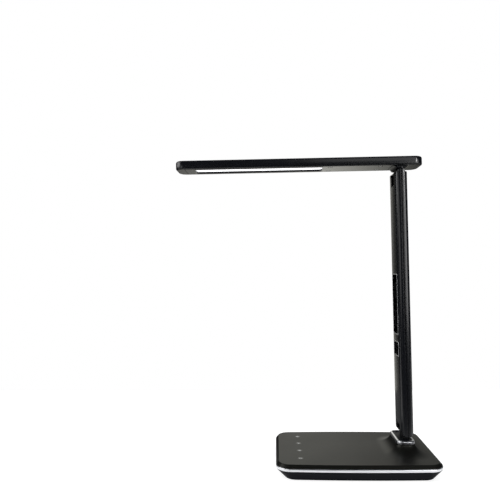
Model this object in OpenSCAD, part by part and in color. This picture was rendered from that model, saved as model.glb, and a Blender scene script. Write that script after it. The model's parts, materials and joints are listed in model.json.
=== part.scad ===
// Folding desk lamp: weighted touch base, flat arm with clock windows, slim light head.
// Millimetres, +Z up, head tip towards -X, origin on the resting face under the base's centre.

/* [Base] */
// Length of the base along X
base_l = 166; // [155:1:190]
// Depth of the base along Y at its middle
base_d = 120; // [112:1:150]
// Height of the base's flat top
base_h = 16; // [15.5:0.5:20]
// Corner radius of the base in plan
base_corner_r = 15; // [12:1:20]
// How far the long sides bow out in plan
base_bow = 2.4; // [1.6:0.2:3.6]
// Inset of the base's bottom edge along its long sides
base_taper = 4.5; // [4:0.5:7]
// Inset of the base's bottom edge at its ends
end_taper = 9.5; // [8:0.5:11]
// Thickness of the base's side walls
base_wall = 2.2; // [1.8:0.1:2.6]
// Thickness of the bottom shell's floor
base_floor = 2.4; // [2:0.1:2.8]
// Thickness of the top cover's plate
top_wall = 2.2; // [1.8:0.1:2.6]
// Inset of the bevel round the base's top
top_bevel = 3; // [2:0.25:4]
// Height of the silver trim band
trim_h = 3.2; // [2.6:0.1:3.6]
// Drop from the base's top to the trim band
trim_drop = 3.3; // [2.8:0.1:3.6]
// Thickness of the anti-slip pad
pad_t = 1.6; // [1.2:0.1:2]
// Depth of the pad's seat in the bottom shell
pad_seat = 1; // [0.5:0.1:1.1]
// Inset of the pad from the bottom edge
pad_inset = 5; // [4:0.5:8]

/* [Base contents] */
// Length of the ballast plate along X
ballast_l = 100; // [80:1:104]
// Depth of the ballast plate along Y
ballast_w = 68; // [50:1:70]
// Thickness of the ballast plate
ballast_t = 5.5; // [4:0.25:6]
// Height of the ribs that hold the ballast plate
ballast_rib_h = 2.5; // [2:0.25:3.5]
// Distance of the touch marks from the base's front edge
touch_inset = 25.2; // [20:0.2:28]
// Spacing of the touch marks
touch_pitch = 24.6; // [20:0.2:26]
// Radius of a touch window
touch_r = 3.1; // [2.6:0.1:3.6]
// Depth of a touch window
touch_t = 0.6; // [0.4:0.1:0.8]
// Radius of a touch contact
contact_r = 2.4; // [2:0.1:2.8]
// Height of a touch contact
contact_h = 1.6; // [1.2:0.1:2]
// Length of the control board along X
board_l = 22; // [16:1:30]
// Thickness of every circuit board
board_t = 1.2; // [1:0.1:1.6]
// Radius of the power inlet's socket
inlet_r = 2.85; // [2.6:0.05:3]
// Length of the power inlet's socket
inlet_l = 9; // [8:0.5:10]
// Side of the power inlet's square housing
inlet_side = 7.2; // [7:0.1:7.4]

/* [Hinge mound] */
// Height of the mound above the base's top
mound_h = 8.5; // [7.5:0.25:9.5]
// Height of the silver collar
collar_h = 4; // [3:0.25:5]
// Reach of the collar in front of the arm's middle
collar_front = 12.5; // [11.5:0.25:13.5]
// Reach of the collar behind the arm's middle
collar_rear = 7; // [6.5:0.25:9]
// Width of the collar along Y
collar_w = 44; // [40:1:48]
// Corner radius of the collar
collar_r = 7; // [5:0.5:8]
// Width of the collar's raised rim
collar_rim = 2.6; // [2:0.1:2.8]
// Depth of the dish inside the collar's rim
collar_dish = 1.2; // [0.8:0.1:1.6]
// Reach of the mound's skirt in front of the collar
flare_front = 14; // [12:0.5:15]
// Reach of the mound's skirt behind the collar
flare_rear = 13.5; // [11:0.5:14]
// Reach of the mound's skirt beside the collar
flare_side = 20; // [16:0.5:22]

/* [Arm] */
// Distance of the arm's middle from the base's rear edge
arm_inset = 27; // [26.5:0.5:30.5]
// Thickness of the arm along X
arm_t = 13; // [12:0.25:13.5]
// Width of the arm along Y
arm_w = 34; // [33:0.5:38]
// Radius of the arm's long edges
arm_r = 5; // [4:0.25:5.5]
// Wall of the arm's shells
arm_wall = 1.6; // [1.4:0.1:1.8]
// Distance between the two hinge axes
arm_span = 272; // [260:0.2:300]
// Height of the arm's shoulders above the upper hinge axis
shoulder_h = 3.6; // [3:0.1:4]
// Radius of the round bosses between the shoulders and the head
boss_r = 6.8; // [6.4:0.1:7]
// Gap between the arm's foot and the collar
foot_gap = 2.2; // [1.8:0.1:2.6]
// Width of the seam between the arm's shells
seam_w = 0.4; // [0.3:0.05:0.6]
// Depth of the seam between the arm's shells
seam_d = 0.6; // [0.4:0.05:0.8]
// Thickness of the flat cable in the arm
cable_t = 1.4; // [1:0.1:1.6]
// Width of the flat cable in the arm
cable_w = 5; // [4:0.25:5.5]

/* [Hinges] */
// Radius of a hinge pin
pin_r = 2; // [1.6:0.1:2.2]
// Running clearance of a pin in the part that turns on it
pin_play = 0.05; // [0.03:0.01:0.08]
// Width of the tongue that turns on a pin
tongue_w = 12.4; // [11:0.2:12.8]
// Thickness of the leg that carries a tongue
tongue_t = 7.5; // [7:0.1:7.8]
// Radius of a tongue's round end
tongue_r = 4; // [3.95:0.01:4.05]
// Gap between a tongue and each friction washer
washer_gap = 0.3; // [0.25:0.05:0.4]
// Thickness of a friction washer
washer_t = 1.1; // [0.9:0.1:1.3]
// Thickness of a yoke's cheeks
cheek_t = 2; // [1.6:0.1:2.2]
// Length of a yoke from the hinge axis into the arm
yoke_l = 24; // [22:0.5:28]
// Thickness of a yoke's web
web_t = 5; // [4:0.25:6]
// Radius of a pin's head
pin_head_r = 3.4; // [3:0.1:3.6]
// Thickness of a pin's head
pin_head_t = 1.8; // [1.4:0.1:2.2]
// Radius over the corners of a hinge nut
nut_r = 3.6; // [3.4:0.1:3.8]
// Thickness of a hinge nut
nut_t = 2.8; // [2.2:0.1:3]
// Gap between a tongue and the sides of its slot
slot_gap = 0.8; // [0.6:0.1:0.9]
// Reach of the foot's slot above the lower hinge axis
foot_slot_h = 4.6; // [4.5:0.1:6]
// Reach of the top's slot below the upper hinge axis
top_slot_h = 10; // [8:0.5:12]
// Reach of the rear notch below the upper hinge axis
notch_h = 2.4; // [2.2:0.1:4]
// Thickness of the bracket's flange
flange_t = 3; // [2.5:0.25:3.25]
// Length of the bracket's flange along X
flange_l = 34; // [33:0.5:36]
// Width of the bracket's flange along Y
flange_w = 56; // [54:1:60]

/* [Clock windows] */
// Height of the upper window's centre above the lower hinge axis
clock_z = 132.8; // [129:0.1:140]
// Height of the upper window with its bezel
clock_h = 66; // [58:1:70]
// Height of the lower window's centre above the lower hinge axis
date_z = 84.8; // [78:0.1:87]
// Height of the lower window with its bezel
date_h = 16; // [12:0.5:20]
// Width of both windows with their bezels
window_w = 23; // [21:0.2:23.8]
// Corner radius of the bezels
bezel_r = 2; // [1.6:0.1:2.6]
// Width of a bezel's rim
bezel_w = 1.2; // [1:0.1:1.5]
// Depth of a bezel's seat
bezel_seat = 1; // [0.8:0.05:1.1]
// How far a bezel stands proud of the arm
bezel_proud = 0.3; // [0.2:0.05:0.5]
// How far a lens lies below its bezel's face
lens_drop = 0.25; // [0.15:0.05:0.35]
// Width of the ledge that carries bezel and lens
ledge_w = 2.4; // [2:0.1:3]
// Thickness of a display glass
glass_t = 2.2; // [1.8:0.1:2.4]
// Radius of a clock key
key_r = 2.4; // [2:0.1:2.6]
// Spacing of the clock keys
key_pitch = 12; // [10:0.5:14]
// How far a clock key stands proud of the arm
key_proud = 0.9; // [0.8:0.05:1.2]
// Travel of a clock key
key_travel = 0.6; // [0.4:0.05:0.7]
// Thickness of a clock key's collar
key_collar_t = 1; // [0.8:0.1:1.2]
// Height of a key switch on the clock board
switch_h = 1.2; // [1:0.1:1.4]

/* [Head] */
// Length of the head
head_l = 268.8; // [250:0.2:290]
// Width of the head
head_w = 34.5; // [34:0.5:38]
// Thickness of the head
head_t = 9.7; // [9:0.1:10]
// Corner radius of the head in plan
head_corner_r = 9; // [7:0.5:11]
// Edge radius of the head's ends
head_end_r = 2.4; // [1.8:0.1:3]
// Edge radius of the head's long sides
head_edge_r = 2.1; // [1.4:0.1:2.2]
// Reach of the head behind the upper hinge axis
head_rear = 23.7; // [21:0.1:26]
// Distance of the head's underside from the upper hinge axis
head_lift = 10.5; // [10.4:0.1:11.2]
// Thickness of the head's top and side walls
head_wall = 1.6; // [1.4:0.1:1.8]
// Thickness of the bottom cover
cover_t = 2.2; // [1.8:0.1:2.4]
// Distance of the bottom cover from the head's tip
cover_tip = 10.5; // [8.5:0.25:11.5]
// Distance of the bottom cover from the head's rear end
cover_rear = 5.5; // [5:0.25:6]
// Distance of the bottom cover's sides from the head's sides
cover_side = 2.2; // [2:0.1:2.6]
// Corner radius of the bottom cover
cover_r = 2; // [1.5:0.1:3]
// Gap round the bottom cover and the diffuser
cover_gap = 0.15; // [0.1:0.01:0.2]
// Length of the lit panel
panel_l = 140.2; // [120:0.2:150]
// Width of the lit panel
panel_w = 19.2; // [18:0.2:21]
// Distance of the lit panel from the head's tip
panel_tip = 21.5; // [18:0.5:24]
// Corner radius of the lit panel
panel_r = 3; // [2:0.25:5]
// How deep the lit panel lies in the bottom cover
panel_sink = 1.7; // [1.2:0.1:1.9]
// Rim of the diffuser behind the bottom cover
panel_rim = 1.6; // [1.2:0.1:1.8]
// Thickness of the diffuser's rim
panel_rim_t = 1; // [0.8:0.1:1.1]
// Thickness of the light guide
guide_t = 3; // [2.6:0.1:3.1]
// Thickness of the reflector sheet
sheet_t = 0.3; // [0.2:0.05:0.4]
// Number of LEDs along each side
led_n = 20; // [12:1:30]
// Length of an LED
led_l = 3; // [2:0.1:3.4]
// Depth of an LED
led_d = 0.7; // [0.5:0.05:0.8]
// Thickness of an LED board
led_board_t = 0.6; // [0.4:0.05:0.7]
// Width of the neck where it meets the head
neck_w = 28; // [24:0.5:30]
// Fillet radius between the neck and the head
neck_fillet = 5; // [4:0.25:6]
// Gap between the arm's bosses and the neck
neck_gap = 0.9; // [0.7:0.1:1]
// Thickness of the pads behind the cover's screws
cover_pad_t = 1; // [0.8:0.1:1.4]
// Thickness of the neck's plate inside the head
neck_plate_t = 2.5; // [2:0.1:3]
// Length of the neck's plate inside the head
neck_plate_l = 32; // [31:0.25:33]
// Width of the neck's plate inside the head
neck_plate_w = 26; // [24:0.5:27]

/* [Fasteners] */
// Shank radius of the case screws
screw_r = 1.2; // [1:0.05:1.3]
// Head radius of the case screws
screw_head_r = 2.3; // [2:0.05:2.4]
// Head thickness of the case screws
screw_head_t = 1.2; // [1:0.05:1.4]
// Clearance round a screw
screw_play = 0.1; // [0.05:0.01:0.15]
// Wall of a screw boss
boss_wall = 1.4; // [1.2:0.1:1.6]

/* [Hidden] */
$fn = 64;

// Colours
black = [0.05, 0.05, 0.055];
soft_black = [0.11, 0.11, 0.1];
silver = [0.82, 0.83, 0.85];
steel = [0.55, 0.56, 0.58];
rubber = [0.03, 0.03, 0.03];
board_green = [0.05, 0.25, 0.12];
glass_black = [0.01, 0.01, 0.012];
light_white = [0.97, 0.98, 1];
clear_grey = [0.8, 0.84, 0.86];
copper = [0.72, 0.45, 0.2];

// Thin slices that the hulled forms run between
slice = 0.02;
// Overshoot of a cut past the face it opens
cut = 1;
// Sides of a bow circle, fine enough for its long shallow arc
bow_sides = 720;
// Overlap that lets the arcs of an outline cross cleanly
weld = 0.005;
// Sides of the corner circles inside hulled forms
hull_sides = 32;

// Room left beside an edge
margin = 1;
// Room past the tip of a screw
tip_gap = 0.3;
// How far a screw's head lies below the face round it
screw_sink = 0.6;
// Wall of the case posts round a screw's head
post_wall = 0.8;
// Radius of the posts under a circuit board
board_post_r = 2;
// Corner radius of the ballast plate
ballast_r = 4;
// Gap between a yoke and the arm's hollow
cheek_gap = 0.2;
// How far a pin's end stands past its nut
pin_end = 0.4;
// How far a yoke's screw bites into the arm's wall
yoke_bite = 0.9;
// Gap between the bracket's leg and the openings round it
leg_gap = 0.6;
// Distance of the yoke screws from the arm's middle
yoke_screw_y = 4.5;
// Reach of the clock board past the windows
board_reach = 3;
// Distance of the arm's screws from the clock board and from the yokes
board_screw_gap = 9;
yoke_screw_gap = 14;
// Gap round a clock key
key_gap = 0.3;
// Width of the rim that keeps a clock key in the arm
key_rim = 0.9;
// Gap beside the flat cable
cable_gap = 0.5;
// Distance of the first LED from the panel's end
led_margin = 3;
// Distance of the cover's screws from the panel, from the neck's plate and from the cover's sides
panel_screw_gap = 8;
plate_screw_gap = 5;
cover_screw_inset = 4.5;
// Distance of the neck's screws from the edges of its plate
plate_screw_inset = 3.6;

// Heights in the base
shell_z = pad_t - pad_seat;
floor_z = shell_z + base_floor;
trim_top = base_h - trim_drop;
trim_z = trim_top - trim_h;
plate_z = base_h - top_wall;
board_z = plate_z - contact_h - board_t;
flange_z = plate_z - flange_t;
mound_top = base_h + mound_h;
collar_top = mound_top + collar_h;

// Base plan
bow_r = (pow(base_l / 2, 2) + pow(base_bow, 2)) / (2 * base_bow);
arm_x = base_l / 2 - arm_inset;
collar_l = collar_front + collar_rear;
collar_x = arm_x + (collar_rear - collar_front) / 2;
touch_x = touch_inset - base_l / 2;
touch_ys = [for (i = [-1.5:1:1.5]) i * touch_pitch];
end_extra = end_taper - base_taper;
pad_margin = pad_inset + screw_head_r + margin;
base_screw_x = base_l / 2 - end_taper - pad_margin;
base_screw_y = base_d / 2 - base_bow - base_taper - pad_margin;
board_x = touch_x - contact_r - margin + board_l / 2;
board_w = 3 * touch_pitch + 2 * (contact_r + margin);
post_r = screw_r + screw_play + boss_wall;
case_post_r = screw_head_r + screw_play + post_wall;
trim_w = base_wall + post_wall;
inlet_face = end_taper * (trim_z - floor_z) / (trim_z - shell_z) + cover_gap;

// Hinges
pivot_low = collar_top + foot_gap + arm_t / 2;
pivot_high = pivot_low + arm_span;
slot_w = tongue_w + 2 * slot_gap;
washer_y = tongue_w / 2 + washer_gap;
cheek_y = washer_y + washer_t;
cheek_end = cheek_y + cheek_t;
cavity_t = arm_t - 2 * arm_wall;
cheek_r = cavity_t / 2 - cheek_gap;
bracket_screw_x = flange_l / 2 - post_r;
bracket_screw_y = flange_w / 2 - post_r;
ballast_x = (arm_x - bracket_screw_x - post_r - base_l / 2 + end_taper + base_wall) / 2;

// Arm
arm_front = arm_x - arm_t / 2;
arm_rear = arm_x + arm_t / 2;
inner_front = arm_front + arm_wall;
inner_rear = arm_rear - arm_wall;
clock_mid = pivot_low + clock_z;
date_mid = pivot_low + date_z;
clock_board_x = inner_front + glass_t;
clock_board_z0 = date_mid - date_h / 2 - board_reach;
clock_board_z1 = clock_mid + clock_h / 2 + board_reach;
clock_board_w = window_w - margin;
arm_screw_zs = [pivot_low + yoke_l + yoke_screw_gap, clock_board_z0 - board_screw_gap,
    clock_board_z1 + board_screw_gap, pivot_high - yoke_l - yoke_screw_gap];
arm_screw_seat = arm_rear - screw_head_t - screw_sink;
arm_screw_tip = inner_front + screw_sink;
key_collar_r = key_r + key_rim;
key_inner = clock_board_x + board_t + switch_h + key_gap + key_travel;
key_collar_x = inner_rear - key_gap - key_collar_t;
cable_y = arm_w / 2 - arm_r - cable_w / 2 - cable_gap;

// Head
head_z = pivot_high + head_lift;
head_top = head_z + head_t;
head_x1 = arm_x + head_rear;
head_x0 = head_x1 - head_l;
head_mid = (head_x0 + head_x1) / 2;
cover_l = head_l - cover_tip - cover_rear;
cover_mid = head_x0 + cover_tip + cover_l / 2;
cover_w = head_w - 2 * cover_side;
cover_top = head_z + cover_t;
panel_mid = head_x0 + panel_tip + panel_l / 2;
guide_z = cover_top + panel_rim_t;
sheet_z = guide_z + guide_t;
spreader_z = sheet_z + sheet_t;
ceiling_z = head_top - head_wall;
guide_w = panel_w + 2 * panel_rim - 2 * led_d - 2 * led_board_t;
led_pitch = (panel_l - 2 * led_margin) / led_n;
led_h = 0.6 * guide_t;
head_screw_xs = [panel_mid + panel_l / 2 + panel_screw_gap, arm_x - neck_plate_l / 2 - plate_screw_gap];
head_screw_y = cover_w / 2 - cover_screw_inset;
neck_screw_x = neck_plate_l / 2 - plate_screw_inset;
neck_screw_y = neck_plate_w / 2 - plate_screw_inset;
neck_z = pivot_high + boss_r + neck_gap;

// Rectangle with round corners, centred
module rounded_rect(l, w, r) {
    square([l - 2 * r, w], center = true);
    square([l, w - 2 * r], center = true);
    for (x = [-1, 1], y = [-1, 1])
        translate([x * (l / 2 - r), y * (w / 2 - r)])
            circle(r = r);
}

// Base outline: short straight ends, bowed long sides and round corners tangent to both
module base_outline(inset, extra = 0, sides = $fn) {
    l = base_l - 2 * (inset + extra);
    d = base_d - 2 * inset;
    r = base_corner_r - inset;
    bow = bow_r - inset;
    corner_x = l / 2 - r;
    corner_y = sqrt(pow(bow - r, 2) - pow(corner_x, 2)) - (bow - d / 2) + weld;
    tangent_x = corner_x * bow / (bow - r);
    intersection() {
        translate([0, bow - d / 2])
            circle(r = bow, $fn = bow_sides);
        translate([0, d / 2 - bow])
            circle(r = bow, $fn = bow_sides);
        square([2 * tangent_x, 2 * d], center = true);
    }
    square([l, 2 * corner_y], center = true);
    for (x = [-1, 1], y = [-1, 1])
        translate([x * corner_x, y * corner_y])
            circle(r = r, $fn = sides);
}

// Thin slice of the base outline at a height
module base_slice(z, inset, extra) {
    translate([0, 0, z])
        linear_extrude(slice)
            base_outline(inset, extra, hull_sides);
}

// Straight taper of the base outline between two heights, with the lower ends drawn in further
module base_loft(z0, inset0, z1, inset1, extra = 0) {
    hull() {
        base_slice(z0, inset0, extra);
        base_slice(z1 - slice, inset1, 0);
    }
}

// Extrusions of X-Z profiles along Y, of Y-Z profiles along X, and round bars
module across(w) {
    rotate([90, 0, 0])
        linear_extrude(w, center = true)
            children();
}
module along_x(x0, x1) {
    translate([x0, 0, 0])
        rotate([90, 0, 90])
            linear_extrude(x1 - x0)
                children();
}
module bar_x(r, x0, x1) {
    translate([x0, 0, 0])
        rotate([0, 90, 0])
            cylinder(r = r, h = x1 - x0);
}
module bar_y(r, y0, y1) {
    translate([0, y0, 0])
        rotate([-90, 0, 0])
            cylinder(r = r, h = y1 - y0);
}
module bar_z(r, z0, z1) {
    translate([0, 0, z0])
        cylinder(r = r, h = z1 - z0);
}

// Four corners of a rectangle
module corners(x, y) {
    for (sx = [-1, 1], sy = [-1, 1])
        translate([sx * x, sy * y, 0])
            children();
}

// Screw that points up, with its head's underside at the given height
module screw_up(z, tip) {
    bar_z(screw_head_r, z - screw_head_t, z);
    bar_z(screw_r, z, tip);
}

// Base

module base_pad() {
    color(rubber)
        linear_extrude(pad_t)
            base_outline(base_taper + pad_inset, end_extra);
}

module base_screw_places() {
    corners(base_screw_x, base_screw_y)
        children();
}

module bracket_screw_places() {
    translate([arm_x, 0, 0])
        corners(bracket_screw_x, bracket_screw_y)
            children();
}

module ballast_outline(grow) {
    translate([ballast_x, 0])
        rounded_rect(ballast_l + 2 * grow, ballast_w + 2 * grow, ballast_r + grow);
}

module inlet_place() {
    translate([base_l / 2 - inlet_face, 0, floor_z + inlet_side / 2])
        children();
}

module base_bottom_shell() {
    rib_t = 1.4;
    color(black)
        difference() {
            union() {
                difference() {
                    base_loft(shell_z, base_taper, trim_z, 0, end_extra);
                    base_loft(floor_z, base_taper + base_wall, trim_z + cut, base_wall, end_extra);
                }
                base_screw_places()
                    bar_z(case_post_r, shell_z + pad_seat, trim_z);
                bracket_screw_places()
                    bar_z(post_r, floor_z, flange_z);
                translate([board_x, 0, 0])
                    corners(board_l / 2 - board_post_r, board_w / 2 - board_post_r)
                        bar_z(board_post_r, floor_z, board_z);
                translate([0, 0, floor_z])
                    linear_extrude(ballast_rib_h)
                        difference() {
                            ballast_outline(rib_t + cover_gap);
                            ballast_outline(cover_gap);
                        }
            }
            translate([0, 0, -cut])
                linear_extrude(pad_t + cut)
                    base_outline(base_taper + pad_inset - cover_gap, end_extra);
            base_screw_places() {
                bar_z(screw_head_r + screw_play, 0, pad_t + screw_head_t);
                bar_z(screw_r + screw_play, 0, trim_z + cut);
            }
            bracket_screw_places()
                bar_z(screw_r + screw_play, floor_z + margin, flange_z + cut);
            inlet_place()
                translate([-inlet_l, -inlet_side / 2 - cover_gap, -inlet_side / 2])
                    cube([inlet_l + end_taper, inlet_side + 2 * cover_gap, inlet_side + cover_gap]);
        }
}

module base_trim() {
    color(silver)
        translate([0, 0, trim_z])
            linear_extrude(trim_h)
                difference() {
                    base_outline(0);
                    base_outline(trim_w);
                }
}

// Outline of the mound where its skirt has spread by the given share
module mound_slice(rise, spread) {
    l = collar_l + (flare_front + flare_rear) * spread;
    shift = (flare_rear - flare_front) * spread / 2;
    translate([collar_x + shift, 0, base_h - slice + (mound_h + slice) * rise])
        linear_extrude(slice)
            rounded_rect(l, collar_w + 2 * flare_side * spread,
                collar_r + flare_rear * spread, $fn = hull_sides);
}

module mound() {
    rises = [0, 0.14, 0.34, 0.62, 1 - slice / mound_h];
    for (i = [0:len(rises) - 2])
        hull() {
            mound_slice(rises[i], pow(1 - rises[i], 2));
            mound_slice(rises[i + 1], pow(1 - rises[i + 1], 2));
        }
}

// Opening round the bracket's leg
module leg_cut(z0, z1) {
    translate([arm_x - tongue_t / 2 - leg_gap, -tongue_w / 2 - leg_gap, z0])
        cube([tongue_t + 2 * leg_gap, tongue_w + 2 * leg_gap, z1 - z0]);
}

module base_top_cover() {
    core_wall = 2.4;
    color(soft_black)
        difference() {
            union() {
                difference() {
                    base_loft(trim_top, 0, base_h, top_bevel);
                    translate([0, 0, trim_top - cut])
                        linear_extrude(plate_z - trim_top + cut)
                            base_outline(base_wall + top_bevel);
                }
                mound();
                base_screw_places()
                    bar_z(case_post_r, trim_z, base_h - top_wall / 2);
            }
            translate([collar_x - collar_l / 2 + core_wall, -collar_w / 2 + core_wall, plate_z - cut])
                cube([collar_l - 2 * core_wall, collar_w - 2 * core_wall,
                        mound_top - core_wall - plate_z + cut]);
            leg_cut(plate_z, mound_top + cut);
            base_screw_places()
                bar_z(screw_r, trim_z - cut, plate_z);
            for (y = touch_ys)
                translate([touch_x, y, base_h - touch_t])
                    cylinder(r = touch_r + screw_play, h = touch_t + cut);
        }
}

module ballast_plate() {
    color(steel)
        translate([0, 0, floor_z])
            linear_extrude(ballast_t)
                ballast_outline(0);
}

module control_board() {
    color(board_green)
        translate([board_x, 0, board_z + board_t / 2])
            cube([board_l, board_w, board_t], center = true);
}

module touch_contacts() {
    color(copper)
        for (y = touch_ys)
            translate([touch_x, y, plate_z - contact_h])
                cylinder(r = contact_r, h = contact_h);
}

module touch_windows() {
    color(clear_grey)
        for (y = touch_ys)
            translate([touch_x, y, base_h - touch_t])
                cylinder(r = touch_r, h = touch_t);
}

module power_inlet() {
    back_wall = 2;
    color(black)
        inlet_place()
            difference() {
                translate([-inlet_l - back_wall, -inlet_side / 2, -inlet_side / 2])
                    cube([inlet_l + back_wall, inlet_side, inlet_side]);
                bar_x(inlet_r, -inlet_l, cut);
            }
}

module base_screws() {
    color(steel)
        base_screw_places()
            screw_up(pad_t + screw_head_t, plate_z - tip_gap);
}

module hinge_collar() {
    color(silver)
        difference() {
            translate([collar_x, 0, mound_top])
                linear_extrude(collar_h)
                    rounded_rect(collar_l, collar_w, collar_r);
            translate([collar_x, 0, collar_top - collar_dish])
                linear_extrude(collar_dish + cut)
                    rounded_rect(collar_l - 2 * collar_rim, collar_w - 2 * collar_rim, collar_r - collar_rim);
            leg_cut(mound_top - cut, collar_top + cut);
        }
}

// Leg with a round drilled end, from the pivot to a height away from it
module tongue(pivot, z0, z1) {
    difference() {
        union() {
            across(tongue_w)
                translate([arm_x, pivot])
                    circle(r = tongue_r);
            translate([arm_x - tongue_t / 2, -tongue_w / 2, z0])
                cube([tongue_t, tongue_w, z1 - z0]);
        }
        translate([arm_x, 0, pivot])
            bar_y(pin_r + pin_play, -tongue_w, tongue_w);
    }
}

module hinge_bracket() {
    color(steel)
        difference() {
            union() {
                tongue(pivot_low, plate_z - cut, pivot_low);
                translate([arm_x, 0, flange_z])
                    linear_extrude(flange_t)
                        rounded_rect(flange_l, flange_w, post_r);
            }
            bracket_screw_places()
                bar_z(screw_r + screw_play, flange_z - cut, plate_z + cut);
            bracket_screw_places()
                bar_z(screw_head_r + screw_play, plate_z - screw_head_t, plate_z + cut);
        }
}

module bracket_screws() {
    color(steel)
        bracket_screw_places() {
            bar_z(screw_head_r, plate_z - screw_head_t, plate_z);
            bar_z(screw_r, floor_z + margin + tip_gap, plate_z - screw_head_t);
        }
}

// Arm

module arm_plan(inset) {
    translate([arm_x, 0])
        rounded_rect(arm_t - 2 * inset, arm_w - 2 * inset, arm_r - inset);
}

// Side view of the arm: round foot, square shoulders and the boss between arm and head
module arm_side() {
    translate([arm_front, pivot_low])
        square([arm_t, arm_span + shoulder_h]);
    translate([arm_x, pivot_low])
        circle(r = arm_t / 2);
    intersection() {
        translate([arm_x, pivot_high])
            circle(r = boss_r);
        translate([arm_x - tongue_t / 2, pivot_high])
            square([tongue_t, boss_r]);
    }
}

// Side view of the arm's hollow, round about both pivots
module cavity_side() {
    translate([inner_front, pivot_low])
        square([cavity_t, arm_span]);
    for (z = [pivot_low, pivot_high])
        translate([arm_x, z])
            circle(r = cavity_t / 2);
}

module arm_prism(inset) {
    translate([0, 0, pivot_low - arm_t])
        linear_extrude(arm_span + 2 * arm_t)
            arm_plan(inset);
}

module arm_hollow() {
    intersection() {
        arm_prism(arm_wall);
        across(arm_w)
            cavity_side();
    }
}

// Slots in which the bracket's leg and the neck swing
module arm_slots() {
    translate([arm_front - cut, -slot_w / 2, pivot_low - arm_t])
        cube([arm_t / 2 + cavity_t / 2 + cut, slot_w, arm_t + foot_slot_h]);
    translate([arm_front - cut, -slot_w / 2, pivot_high - top_slot_h])
        cube([arm_t / 2 + cavity_t / 2 + cut, slot_w, top_slot_h + boss_r + cut]);
    translate([arm_front - cut, -slot_w / 2, pivot_high - notch_h])
        cube([arm_t + 2 * cut, slot_w, notch_h + boss_r + cut]);
}

// One of the arm's two shells, before its own openings
module arm_half(x0, x1) {
    difference() {
        intersection() {
            arm_prism(0);
            across(arm_w + cut)
                arm_side();
            translate([x0, -arm_w, 0])
                cube([x1 - x0, 2 * arm_w, head_top]);
        }
        arm_hollow();
        arm_slots();
        difference() {
            translate([arm_x - seam_w / 2, -arm_w, 0])
                cube([seam_w, 2 * arm_w, head_top]);
            arm_prism(seam_d);
        }
    }
}

module arm_screw_places() {
    for (z = arm_screw_zs)
        translate([0, 0, z])
            children();
}

module yoke_screw_places() {
    for (z = [pivot_low + yoke_l - web_t / 2, pivot_high - yoke_l + web_t / 2], y = [-1, 1])
        translate([0, y * yoke_screw_y, z])
            children();
}

module key_places(steps) {
    for (i = steps)
        translate([0, 0, clock_mid + i * key_pitch])
            children();
}

module arm_rear_shell() {
    color(black)
        difference() {
            union() {
                arm_half(arm_x, arm_rear);
                arm_screw_places()
                    bar_x(screw_head_r + boss_wall, arm_x, inner_rear + arm_wall / 2);
                for (z = [clock_board_z0 + 2 * board_post_r, clock_board_z1 - 2 * board_post_r])
                    translate([0, 0, z])
                        bar_x(board_post_r, clock_board_x + board_t, inner_rear + arm_wall / 2);
            }
            arm_screw_places() {
                bar_x(screw_head_r + screw_play, arm_screw_seat, arm_rear + cut);
                bar_x(screw_r + screw_play, arm_x - cut, arm_rear);
            }
            yoke_screw_places()
                bar_x(screw_r + screw_play, arm_x, inner_rear + yoke_bite + screw_play);
            key_places([-1, 0, 1])
                bar_x(key_r + key_gap, arm_x, arm_rear + cut);
        }
}

// Seat and light opening for one window
module window_cut(mid, h) {
    translate([0, 0, mid]) {
        along_x(arm_front - cut, arm_front + bezel_seat)
            rounded_rect(window_w + 2 * cover_gap, h + 2 * cover_gap, bezel_r);
        along_x(arm_front, arm_x)
            rounded_rect(window_w - 2 * ledge_w, h - 2 * ledge_w, bezel_r / 2);
    }
}

module arm_front_cover() {
    color(black)
        difference() {
            union() {
                arm_half(arm_front, arm_x);
                arm_screw_places()
                    bar_x(post_r, inner_front - arm_wall / 2, arm_x);
            }
            window_cut(clock_mid, clock_h);
            window_cut(date_mid, date_h);
            arm_screw_places()
                bar_x(screw_r + screw_play / 2, arm_screw_tip - tip_gap, arm_x + cut);
        }
}

module bezel(mid, h) {
    color(silver)
        translate([0, 0, mid])
            along_x(arm_front - bezel_proud, arm_front + bezel_seat)
                difference() {
                    rounded_rect(window_w, h, bezel_r);
                    rounded_rect(window_w - 2 * bezel_w, h - 2 * bezel_w, bezel_r - bezel_w / 2);
                }
}

module lens(mid, h) {
    inset = bezel_w + cover_gap / 2;
    color(glass_black)
        translate([0, 0, mid])
            along_x(arm_front - bezel_proud + lens_drop, arm_front + bezel_seat)
                rounded_rect(window_w - 2 * inset, h - 2 * inset, bezel_r - bezel_w / 2);
}

module display_glass(mid, h) {
    color(clear_grey)
        translate([inner_front + glass_t / 2, 0, mid])
            cube([glass_t, clock_board_w - 2 * margin, h - 2 * margin], center = true);
}

module clock_bezel() {
    bezel(clock_mid, clock_h);
}

module clock_lens() {
    lens(clock_mid, clock_h);
}

module clock_glass() {
    display_glass(clock_mid, clock_h);
}

module date_bezel() {
    bezel(date_mid, date_h);
}

module date_lens() {
    lens(date_mid, date_h);
}

module date_glass() {
    display_glass(date_mid, date_h);
}

module clock_board() {
    color(board_green) {
        translate([clock_board_x, -clock_board_w / 2, clock_board_z0])
            cube([board_t, clock_board_w, clock_board_z1 - clock_board_z0]);
        key_places([-1, 0, 1])
            translate([clock_board_x, -key_r, -key_r])
                cube([board_t + switch_h, 2 * key_r, 2 * key_r]);
    }
}

module arm_cable() {
    color(rubber)
        translate([inner_rear - cable_t, cable_y - cable_w / 2, pivot_low + yoke_l])
            cube([cable_t, cable_w, arm_span - 2 * yoke_l]);
}

module arm_screws() {
    color(steel)
        arm_screw_places() {
            bar_x(screw_head_r, arm_screw_seat, arm_screw_seat + screw_head_t);
            bar_x(screw_r, arm_screw_tip, arm_screw_seat);
        }
}

// Hinge hardware, built about the pivot with the arm along +Z

module at_low() {
    translate([arm_x, 0, pivot_low])
        children();
}

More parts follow.
